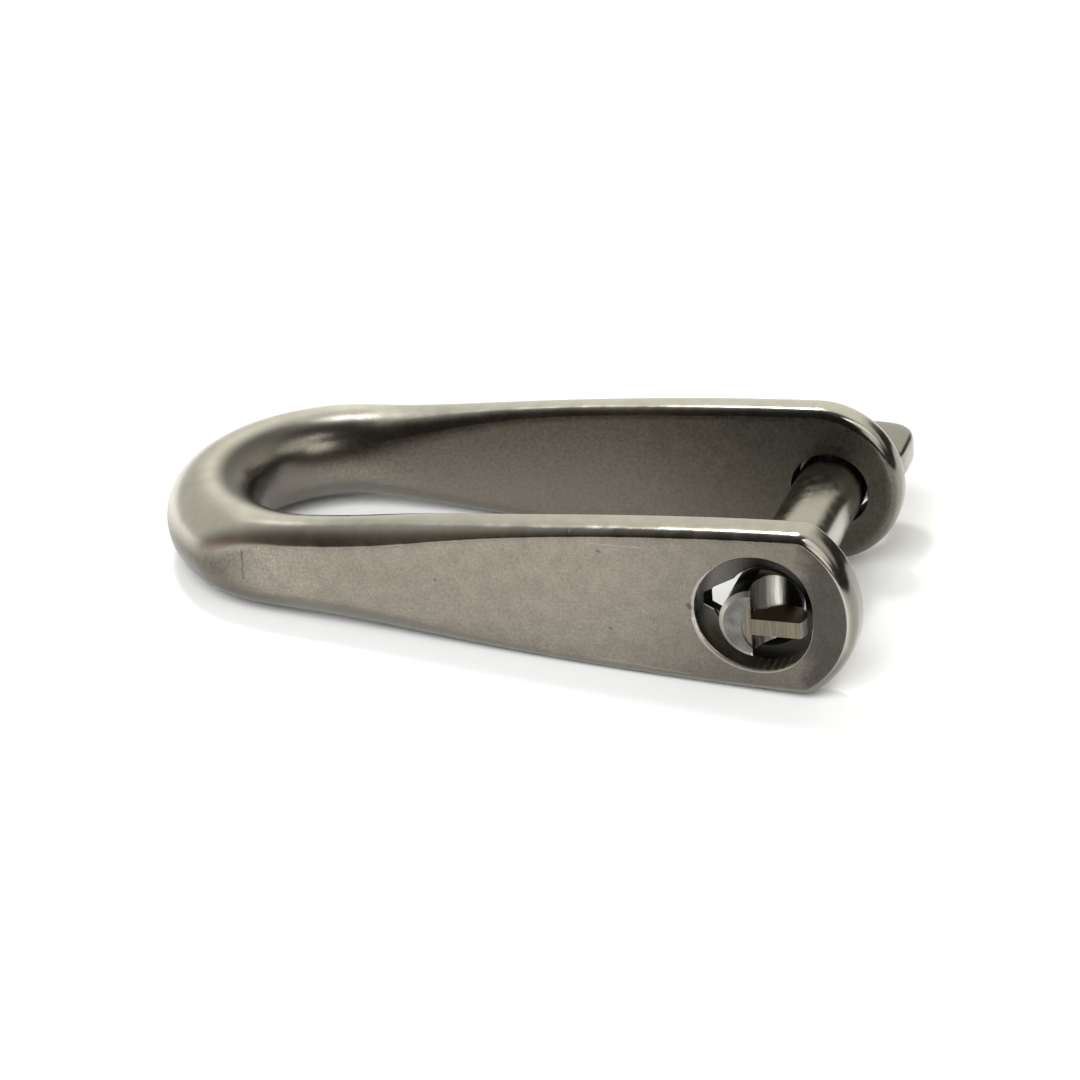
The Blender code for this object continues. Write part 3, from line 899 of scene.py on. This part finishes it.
class ForgedSurface(Surface):
    """Facings and patterns that the finishes of the forging share."""

    def __init__(self, tip):
        super().__init__("forged_stainless", tip)
        tree = self.tree
        self.flat = ramp(tree, calc(tree, "ABSOLUTE", self.ny), *FLAT_NY)
        self.away = calc(tree, "ABSOLUTE", self.y)
        self.grain = noise(tree, self.at, *GRAIN_NOISE)
        self.fine = noise(tree, self.at, *FINE_NOISE)
        self.mottle = noise(tree, self.at, *MOTTLE_NOISE)
        self.outward = self.outward_share()
        self.egg = self.egg_value()
        self.in_egg = ramp(tree, self.egg, *RECESS_EGG, 1.0, 0.0)

    def outward_share(self):
        """How far a face looks out of the shackle, round the bow as well as along the arms."""
        tree = self.tree
        round_bow = calc(tree, "MINIMUM", calc(tree, "SUBTRACT", self.x, BOW_START_X), 0.0)
        outward = add(tree, "ShaderNodeCombineXYZ", {0: round_bow, 1: self.y}).outputs[0]
        outward = vector_calc(tree, "NORMALIZE", outward)
        facing = add(tree, "ShaderNodeCombineXYZ", {0: self.nx, 1: self.ny}).outputs[0]
        return vector_calc(tree, "DOT_PRODUCT", outward, facing)

    def egg_value(self):
        """1 on the egg outline of the key recess, more outside it."""
        tree = self.tree
        dx = calc(tree, "SUBTRACT", self.x, RECESS_CENTRE_X)
        width = blend_value(tree, calc(tree, "LESS_THAN", dx, 0.0), RECESS_RIGHT, RECESS_LEFT)
        run = calc(tree, "ABSOLUTE", calc(tree, "DIVIDE", dx, width))
        rise = calc(tree, "ABSOLUTE", calc(tree, "DIVIDE", self.z, RECESS_HALF_HEIGHT))
        power = 0.5 * (RECESS_LEFT_EXPONENT + RECESS_RIGHT_EXPONENT)
        return calc(tree, "ADD", calc(tree, "POWER", run, power), calc(tree, "POWER", rise, power))


def face_stain_and_shade(steel):
    """Painted shade, partly stain: the ground face is darker round the key recess, darker low down
    near the ear, and darkest at the ear's end.
    """
    tree = steel.tree
    near_ear = times(tree, ramp(tree, steel.x, *STAIN_AND_SHADE_GROWS_X), STAIN_AND_SHADE_NEAR_EAR)
    low = times(tree, ramp(tree, steel.z, *LOW_SHADE_Z), ramp(tree, steel.x, *LOW_SHADE_X), LOW_SHADE)
    ragged = calc(tree, "MULTIPLY", calc(tree, "SUBTRACT", steel.mottle, 0.5), STAIN_AND_SHADE_END_RAGGED)
    ragged = calc(tree, "ADD", steel.x, ragged)
    at_end = times(tree, ramp(tree, ragged, *STAIN_AND_SHADE_END_X), STAIN_AND_SHADE_END)
    return calc(tree, "MAXIMUM", calc(tree, "ADD", near_ear, low), at_end)


def satin_colour(steel):
    tree = steel.tree
    satin = blend_colour(tree, face_stain_and_shade(steel), SATIN_COLOUR, STAIN_AND_SHADE_COLOUR)
    grain = calc(tree, "MULTIPLY", steel.grain, GRAIN_SHARE)
    speckle = calc(tree, "ADD", grain, calc(tree, "MULTIPLY", steel.fine, 1.0 - GRAIN_SHARE))
    satin = brighten(tree, satin, ramp(tree, speckle, *SPECKLE_RANGE, *SPECKLE_BRIGHTNESS))
    return brighten(tree, satin, ramp(tree, steel.mottle, *PATTERN_RANGE, *SATIN_BRIGHTNESS))


def polished_colour(steel):
    tree = steel.tree
    mottled = ramp(tree, steel.mottle, *PATTERN_RANGE, *POLISHED_BRIGHTNESS)
    polished = brighten(tree, POLISHED_COLOUR, mottled)
    # Painted highlight towards the bow and on the far arm
    polished = brighten(tree, polished, ramp(tree, steel.x, *BOW_PAINTED_HIGHLIGHT_X, 1.0, BOW_PAINTED_HIGHLIGHT))
    return brighten(tree, polished, ramp(tree, steel.y, *FAR_ARM_PAINTED_HIGHLIGHT_Y, 1.0, FAR_ARM_PAINTED_HIGHLIGHT))


def with_bow_finish(steel, colour, satin):
    """Satin carries on round the outside of the bow, with painted shade low down and on the bow's
    inside, and the shoulder's painted reflection.
    """
    tree = steel.tree
    towards_bow = ramp(tree, steel.x, *TOWARDS_BOW_X)
    outward = ramp(tree, steel.outward, *BOW_OUTWARD_SHARE)
    on_bow = times(tree, towards_bow, outward, ramp(tree, steel.nz, *BOW_SATIN_NZ))
    low = ramp(tree, steel.nz, *LOW_BOW_NZ, 1.0, LOW_BOW)
    low = blend_value(tree, ramp(tree, steel.x, *LOW_BOW_X), 1.0, low)
    colour = blend_colour(tree, on_bow, colour, brighten(tree, satin, low))
    colour = blend_colour(tree, shoulder_reflection_share(steel), colour, SHOULDER_REFLECTION_COLOUR)
    inward = times(tree, towards_bow, ramp(tree, steel.outward, *BOW_INWARD_SHARE))
    return blend_colour(tree, inward, colour, BOW_INNER_SHADE_COLOUR)


def shoulder_reflection_share(steel):
    """Painted reflection: the rounded shoulder above a ground face is brown."""
    tree = steel.tree
    shoulder = ramp(tree, calc(tree, "ABSOLUTE", steel.ny), *SHOULDER_NY)
    shoulder = times(tree, shoulder, opposite(tree, steel.flat), ramp(tree, steel.nz, *SHOULDER_NZ))
    return times(tree, shoulder, ramp(tree, steel.away, *SHOULDER_AWAY), SHOULDER)


def with_inner_faces(steel, colour):
    """The inner faces are duller and carry painted shade, which darkens them towards the ears."""
    tree = steel.tree
    wander = calc(tree, "MULTIPLY", steel.mottle, INNER_WANDER)
    darkening = ramp(tree, calc(tree, "ADD", steel.x, wander), *INNER_DARKENS_X)
    inner = blend_colour(tree, darkening, INNER_COLOUR, INNER_EAR_SHADE_COLOUR)
    inner = brighten(tree, inner, ramp(tree, steel.grain, *PATTERN_RANGE, *INNER_BRIGHTNESS))
    return blend_colour(tree, ramp(tree, steel.outward, *INNER_SHARE), colour, inner)


def with_dull_ends_and_underside_shade(steel, colour):
    """The ends of the ears are dull, darkened partly by painted shade, and the underneath carries
    painted shade.
    """
    tree = steel.tree
    ear_end = times(tree, ramp(tree, steel.nx, *EAR_END_NX), EAR_END)
    underneath = times(tree, ramp(tree, steel.nz, *UNDERSIDE_SHADE_NZ), UNDERSIDE_SHADE)
    return blend_colour(tree, calc(tree, "MAXIMUM", ear_end, underneath), colour, DULL_END_AND_SHADE_COLOUR)


def recess_share(steel):
    """1 on the walls and ledges of the key recess."""
    tree = steel.tree
    deep = times(tree, ramp(tree, steel.y, *RECESS_FRONT_Y), ramp(tree, steel.y, *RECESS_BACK_Y))
    return times(tree, deep, steel.in_egg)


def recess_colour(steel):
    """Ledges painted dark with shade, darkest towards the pin, and a lower wall painted light where it
    faces up, which carries the cutter's chatter marks.
    """
    tree = steel.tree
    ledge = brighten(tree, RECESS_SHADE_COLOUR, ramp(tree, steel.fine, *FINE_RANGE, *LEDGE_BRIGHTNESS))
    ledge = brighten(tree, ledge, ramp(tree, steel.x, *LEDGE_DARKENS_X, *LEDGE_DARKENING))
    wall = blend_colour(tree, ramp(tree, steel.nz, *LOWER_WALL_NZ), RECESS_SHADE_COLOUR, LIT_WALL_COLOUR)
    wave = calc(tree, "SINE", calc(tree, "MULTIPLY", steel.x, CHATTER_PITCH))
    chatter = ramp(tree, wave, *CHATTER_WAVE, *CHATTER_BRIGHTNESS)
    where = times(tree, ramp(tree, steel.x, *CHATTER_STARTS_X), ramp(tree, steel.x, *CHATTER_STOPS_X))
    where = times(tree, where, ramp(tree, steel.nz, *CHATTER_NZ))
    wall = brighten(tree, wall, blend_value(tree, where, 1.0, chatter))
    return blend_colour(tree, steel.flat, wall, ledge)


def hole_shade_share(steel):
    """Painted shade: black in the hole and behind the ledge, but not on flat faces."""
    tree = steel.tree
    up = calc(tree, "SUBTRACT", steel.z, HOLE_SHADE_CENTRE_Z)
    centred = add(tree, "ShaderNodeCombineXYZ", {0: steel.x, 1: up})
    in_hole = ramp(tree, vector_calc(tree, "LENGTH", centred.outputs[0]), *HOLE_SHADE_RADIUS)
    behind_ledge = times(tree, ramp(tree, steel.y, *HOLE_SHADE_FRONT_Y), ramp(tree, steel.y, *HOLE_SHADE_BACK_Y))
    behind_ledge = times(tree, behind_ledge, steel.in_egg)
    return times(tree, calc(tree, "MAXIMUM", in_hole, behind_ledge), opposite(tree, steel.flat))


def rim_highlight_share(steel):
    """Painted highlight on the broken edge of the recess, wider towards the bow."""
    tree = steel.tree
    rim = times(tree, ramp(tree, steel.y, *RIM_FRONT_Y), ramp(tree, steel.egg, *RIM_INNER_EGG))
    wide = ramp(tree, steel.x, *RIM_WIDENS_X, *RIM_WIDTH)
    beyond = calc(tree, "SUBTRACT", steel.egg, wide)
    return times(tree, rim, ramp(tree, beyond, *RIM_OUTER_EGG, 1.0, 0.0), RIM)


def marks(tree, at, segments):
    """1 on any of the marks, 0 away from them."""
    total = 0.0
    for start, end, half_width in segments:
        one = near_segment(tree, at, start, end, half_width, MARK_FADE * half_width)
        total = calc(tree, "MAXIMUM", total, one)
    return total


def with_marks(steel, colour, scratched, pitted):
    """Scratches and pits, a faceted stretch of the recess rim painted with highlight stripes, and a
    chip beside it.
    """
    tree = steel.tree
    colour = blend_colour(tree, scratched, colour, SCRATCH_COLOUR)
    colour = blend_colour(tree, pitted, colour, STAIN_AND_SHADE_COLOUR)
    stripes = noise(tree, steel.at, 1.0, 2.0, 0.5, STRIPE_STRETCH)
    facet = times(tree, marks(tree, steel.at, (RIM_FACET,)), ramp(tree, stripes, *STRIPE_RANGE))
    colour = blend_colour(tree, facet, colour, RIM_HIGHLIGHT_COLOUR)
    chip = times(tree, marks(tree, steel.at, (RIM_CHIP,)), CHIP)
    return blend_colour(tree, chip, colour, STAIN_AND_SHADE_COLOUR)


def forged_roughness(steel, in_recess, shaded):
    tree = steel.tree
    satin = ramp(tree, steel.grain, *PATTERN_RANGE, *SATIN_ROUGHNESS)
    polished = ramp(tree, steel.mottle, *PATTERN_RANGE, *POLISHED_ROUGHNESS)
    rough = blend_value(tree, steel.flat, polished, satin)
    rough = blend_value(tree, ramp(tree, steel.x, *BOW_ROUGHNESS_X), rough, BOW_ROUGHNESS)
    rough = blend_value(tree, in_recess, rough, RECESS_ROUGHNESS)
    return blend_value(tree, shaded, rough, HOLE_SHADE_ROUGHNESS)


def forged_height(steel, scratched, pitted):
    tree = steel.tree
    height = calc(tree, "MULTIPLY", steel.mottle, MOTTLE_HEIGHT)
    height = blend_value(tree, steel.flat, height, steel.grain)
    cut = calc(tree, "MULTIPLY", calc(tree, "ADD", scratched, pitted), MARK_DEPTH)
    return calc(tree, "SUBTRACT", height, cut)


def bumped(tree, height, strength, distance):
    inputs = {"Height": height, "Strength": strength, "Distance": distance}
    return add(tree, "ShaderNodeBump", inputs).outputs["Normal"]


def forged_material(tip):
    """Ground satin faces and polished edges, stained and scratched, with painted shade, painted
    highlights and a painted reflection, and black painted shade in the recess.
    """
    steel = ForgedSurface(tip)
    tree = steel.tree
    satin = satin_colour(steel)
    ground = times(tree, steel.flat, ramp(tree, steel.away, *OUTER_FACE_AWAY))
    colour = blend_colour(tree, ground, polished_colour(steel), satin)
    colour = with_bow_finish(steel, colour, satin)
    colour = with_inner_faces(steel, colour)
    colour = with_dull_ends_and_underside_shade(steel, colour)
    in_recess = recess_share(steel)
    colour = blend_colour(tree, in_recess, colour, recess_colour(steel))
    shaded = hole_shade_share(steel)
    colour = blend_colour(tree, shaded, colour, PAINTED_SHADE_COLOUR)
    colour = blend_colour(tree, rim_highlight_share(steel), colour, RIM_HIGHLIGHT_COLOUR)
    scratched = times(tree, marks(tree, steel.at, LIGHT_MARKS), SCRATCH)
    pitted = times(tree, marks(tree, steel.at, DARK_MARKS), PIT)
    colour = with_marks(steel, colour, scratched, pitted)
    rough = forged_roughness(steel, in_recess, shaded)
    height = forged_height(steel, scratched, pitted)
    normal = bumped(tree, height, FORGED_BUMP, FORGED_BUMP_DISTANCE)
    return steel.finished(colour, rough, normal)


# Patterns of the pin: scale, detail, roughness, stretch along each axis
TURNING_NOISE = (1.0, 3.0, 0.6, (0.4, 14.0, 0.4))
MILLING_NOISE = (1.0, 3.0, 0.6, (7.0, 7.0, 0.25))
CLOUD_NOISE = (1.2, 4.0, 0.55)
PIN_FINE_NOISE = (7.0, 4.0, 0.6)

# Parts of the pin
PIN_END_Y = (-11.9, -12.15)
PIN_END_NY = (-0.9, -0.98)
KEY_FACE_X = (-0.8, -0.5)
KEY_FACE_Y = (-12.24, -12.19)
POCKET_X = (-0.35, -0.3)
POCKET_BACK_Y = (-8.8, -9.1)
HOLE_FRONT_Y = (-10.4, -9.6)
HOLE_BACK_Y = (-8.0, -8.5)
UNDER_RIM_NZ = (0.4, 0.75)
UNDER_RIM_Y = (-8.2, -8.8)
PADDLE_Y = (11.6, 12.6)
KEY_TOP_NZ = (0.4, 0.8)

# Looks of the pin
SHANK_BRIGHTNESS = (0.92, 1.05)
# Painted shade on the pin in the near hole and under the recess's rim
IN_HOLE_SHADE = 0.98
UNDER_RIM_SHADE = 0.93
END_BRIGHTNESS = (0.8, 1.25)
END_FINE_BRIGHTNESS = (0.9, 1.1)
GOLD_RANGE = (0.42, 0.6)
KEY_BRIGHTNESS = (0.75, 1.2)
POCKET_BRIGHTNESS = (0.5, 1.0)
PIN_ROUGHNESS = (0.16, 0.26)
PIN_END_ROUGHNESS = 0.42
POCKET_ROUGHNESS = 0.4
PIN_BUMP = 0.3
PIN_BUMP_DISTANCE = 0.00001
POCKET_LEAN = 0.5
POCKET_LEAN_NZ = (0.4, 0.2)


class PinSurface(Surface):
    """Patterns of the pin, and how much of each of its parts a point is on."""

    def __init__(self, tip):
        super().__init__("turned_stainless", tip)
        tree = self.tree
        self.turning = noise(tree, self.at, *TURNING_NOISE)
        self.milling = noise(tree, self.at, *MILLING_NOISE)
        self.cloud = noise(tree, self.at, *CLOUD_NOISE)
        self.fine = noise(tree, self.at, *PIN_FINE_NOISE)
        facing = ramp(tree, self.ny, *PIN_END_NY)
        self.at_end = times(tree, ramp(tree, self.y, *PIN_END_Y), facing)
        key_face = times(tree, ramp(tree, self.x, *KEY_FACE_X), ramp(tree, self.y, *KEY_FACE_Y))
        self.on_key = times(tree, self.at_end, key_face)
        in_pocket = times(tree, ramp(tree, self.x, *POCKET_X), ramp(tree, self.y, *POCKET_BACK_Y))
        self.in_pocket = times(tree, in_pocket, opposite(tree, facing))
        self.in_hole = times(tree, ramp(tree, self.y, *HOLE_FRONT_Y), ramp(tree, self.y, *HOLE_BACK_Y))


def shank_colour(pin):
    """Polished shank, with painted shade: black where it sits in the near hole and under the recess's
    rim.
    """
    tree = pin.tree
    shank = brighten(tree, SHANK_COLOUR, ramp(tree, pin.cloud, *PATTERN_RANGE, *SHANK_BRIGHTNESS))
    shank = blend_colour(tree, times(tree, pin.in_hole, IN_HOLE_SHADE), shank, PAINTED_SHADE_COLOUR)
    under_rim = times(tree, ramp(tree, pin.nz, *UNDER_RIM_NZ), ramp(tree, pin.y, *UNDER_RIM_Y))
    return blend_colour(tree, times(tree, under_rim, UNDER_RIM_SHADE), shank, PAINTED_SHADE_COLOUR)


def pin_end_colour(pin):
    tree = pin.tree
    end = brighten(tree, PIN_END_COLOUR, ramp(tree, pin.cloud, *PATTERN_RANGE, *END_BRIGHTNESS))
    return brighten(tree, end, ramp(tree, pin.fine, *FINE_RANGE, *END_FINE_BRIGHTNESS))


def key_colour(pin):
    """Milled front of the key, with golden streaks."""
    tree = pin.tree
    key = blend_colour(tree, ramp(tree, pin.milling, *GOLD_RANGE), KEY_COLOUR, KEY_GOLD_COLOUR)
    return brighten(tree, key, ramp(tree, pin.milling, *PATTERN_RANGE, *KEY_BRIGHTNESS))


def pocket_colour(pin):
    """Milled wall behind the key painted bright as a highlight, and the key's top painted dark brown
    as a reflection.
    """
    tree = pin.tree
    wall = brighten(tree, POCKET_HIGHLIGHT_COLOUR, ramp(tree, pin.milling, *FINE_RANGE, *POCKET_BRIGHTNESS))
    return blend_colour(tree, ramp(tree, pin.nz, *KEY_TOP_NZ), wall, KEY_TOP_REFLECTION_COLOUR)


def pin_roughness(pin):
    tree = pin.tree
    rough = ramp(tree, pin.cloud, *PATTERN_RANGE, *PIN_ROUGHNESS)
    rough = blend_value(tree, pin.at_end, rough, PIN_END_ROUGHNESS)
    rough = blend_value(tree, pin.in_pocket, rough, POCKET_ROUGHNESS)
    shaded = times(tree, pin.in_hole, opposite(tree, pin.in_pocket))
    return blend_value(tree, shaded, rough, HOLE_SHADE_ROUGHNESS)


def pin_normal(pin):
    """Tool marks, and a wall of the pocket that leans up a little."""
    tree = pin.tree
    milled = calc(tree, "MAXIMUM", pin.on_key, pin.in_pocket)
    height = blend_value(tree, milled, pin.turning, pin.milling)
    normal = bumped(tree, height, PIN_BUMP, PIN_BUMP_DISTANCE)
    lean = times(tree, pin.in_pocket, ramp(tree, pin.nz, *POCKET_LEAN_NZ), POCKET_LEAN)
    leaning = add(tree, "ShaderNodeCombineXYZ", {2: lean}).outputs[0]
    return vector_calc(tree, "NORMALIZE", vector_calc(tree, "ADD", normal, leaning))


def pin_material(tip):
    """Turned and polished shank with a duller end, a milled key and a dull paddle."""
    pin = PinSurface(tip)
    tree = pin.tree
    colour = blend_colour(tree, ramp(tree, pin.y, *PADDLE_Y), shank_colour(pin), PADDLE_COLOUR)
    colour = blend_colour(tree, pin.at_end, colour, pin_end_colour(pin))
    colour = blend_colour(tree, pin.on_key, colour, key_colour(pin))
    colour = blend_colour(tree, pin.in_pocket, colour, pocket_colour(pin))
    return pin.finished(colour, pin_roughness(pin), pin_normal(pin))


def paint(thing, material):
    thing.data.materials.clear()
    thing.data.materials.append(material)


# ---------------------------------------------------------------- stage

FLOOR_HALF_SIZE = 1.5
FLOOR_COLOUR = (0.9, 0.9, 0.9, 1.0)
FLOOR_ROUGHNESS = 0.9


def floor():
    mesh = bmesh.new()
    corners = [(-1, -1), (1, -1), (1, 1), (-1, 1)]
    verts = [mesh.verts.new((x * FLOOR_HALF_SIZE, y * FLOOR_HALF_SIZE, 0.0)) for x, y in corners]
    mesh.faces.new(verts)
    thing = finish_mesh(mesh, "floor")
    material = bpy.data.materials.new("pale_paper")
    material.use_nodes = True
    shader = material.node_tree.nodes["Principled BSDF"]
    shader.inputs["Base Color"].default_value = FLOOR_COLOUR
    shader.inputs["Roughness"].default_value = FLOOR_ROUGHNESS
    paint(thing, material)


def area_light(name, direction, distance, size, power, colour):
    light = bpy.data.lights.new(name, "AREA")
    light.shape = "DISK"
    light.size = size
    light.energy = power
    light.color = colour
    thing = bpy.data.objects.new(name, light)
    bpy.context.scene.collection.objects.link(thing)
    away = Vector(direction).normalized()
    thing.location = away * distance
    thing.rotation_mode = "QUATERNION"
    thing.rotation_quaternion = away.to_track_quat("Z", "Y")
    return thing


# The surrounding light: pairs on a direction's axis say where a side starts and where it is full
DARK_FRONT = (0.06, 0.056, 0.052, 1.0)
BEIGE_BACK = (1.0, 0.98, 0.88, 1.0)
LEFT_WALL = (0.60, 0.59, 0.54, 1.0)
BACK_Y = (0.0, 0.5)
BACK_Z = (-0.02, 0.02)
DARK_CORNER_X = (0.2, 0.36)
DARK_CORNER_Z = (0.42, 0.3)
LEFT_X = (-0.35, -0.65)
LEFT_Z = (-0.02, 0.05)

# Area lights: name, direction, distance, size, power, colour
KEY_LIGHT = ("key_light", (-0.27, 0.30, 0.91), 0.9, 0.15, 2.2, (1.0, 1.0, 1.0))
FLOOR_LIGHT = ("floor_light", (-0.12, -0.68, 0.72), 1.0, 0.8, 10.0, (0.98, 0.99, 1.0))

# Cards and a lamp seen in the metal: direction, cosines where each starts and is full, colour
LAMPS = (
    ((0.63, -0.2, 0.74), 0.91, 0.95, (1.4, 1.4, 1.35, 1.0)),
    ((0.62, -0.66, 0.42), 0.965, 0.98, (2.4, 2.4, 2.3, 1.0)),
    ((0.29, -0.28, 0.91), 0.994, 0.997, (4.0, 4.0, 4.0, 1.0)),
)


def room():
    """Soft tent of light: beige behind, grey at the left, dark in front, two cards and a lamp."""
    world = bpy.data.worlds.new("tent")
    bpy.context.scene.world = world
    world.use_nodes = True
    tree = world.node_tree
    background = tree.nodes["Background"]
    direction = add(tree, "ShaderNodeTexCoord").outputs["Generated"]
    x, y, z = axes(tree, direction)
    back = times(tree, ramp(tree, y, *BACK_Y), ramp(tree, z, *BACK_Z))
    dark_corner = times(tree, ramp(tree, x, *DARK_CORNER_X), ramp(tree, z, *DARK_CORNER_Z))
    back = times(tree, back, opposite(tree, dark_corner))
    left = times(tree, ramp(tree, x, *LEFT_X), ramp(tree, z, *LEFT_Z))
    colour = blend_colour(tree, back, DARK_FRONT, BEIGE_BACK)
    colour = blend_colour(tree, left, colour, LEFT_WALL)
    for towards, dim, bright, lamp in LAMPS:
        facing = vector_calc(tree, "DOT_PRODUCT", direction, tuple(Vector(towards).normalized()))
        colour = blend_colour(tree, ramp(tree, facing, dim, bright), colour, lamp)
    tree.links.new(colour, background.inputs["Color"])
    background.inputs["Strength"].default_value = 1.0


# ---------------------------------------------------------------- camera

CAMERA_FROM_PIN = (63.445, -255.286, 140.747)
CAMERA_YAW = 17.917
CAMERA_PITCH = 28.136
CAMERA_ROLL = -0.4215
CAMERA_LENS = 141.96
CAMERA_SENSOR = 36.0
CAMERA_CLIP = (0.01, 10.0)


def camera():
    data = bpy.data.cameras.new("camera")
    data.lens = CAMERA_LENS
    data.sensor_width = CAMERA_SENSOR
    data.clip_start, data.clip_end = CAMERA_CLIP
    thing = bpy.data.objects.new("camera", data)
    bpy.context.scene.collection.objects.link(thing)
    turn = Matrix.Rotation(math.radians(CAMERA_YAW), 4, "Z")
    tilt = Matrix.Rotation(math.radians(90.0 - CAMERA_PITCH), 4, "X")
    roll = Matrix.Rotation(math.radians(CAMERA_ROLL), 4, "Z")
    place_at = Vector(frame["joints"][0]["pos_m"]) + Vector(CAMERA_FROM_PIN) * MM
    thing.matrix_world = Matrix.Translation(place_at) @ turn @ tilt @ roll
    bpy.context.scene.camera = thing


def build():
    bpy.context.scene.view_settings.view_transform = "Standard"
    body = forged_body()
    pin = keyed_pin()
    tip = resting_tip(body)
    paint(body, forged_material(tip))
    paint(pin, pin_material(tip))
    place(body, pin, tip)
    floor()
    room()
    area_light(*KEY_LIGHT)
    area_light(*FLOOR_LIGHT).visible_glossy = False
    camera()


build()
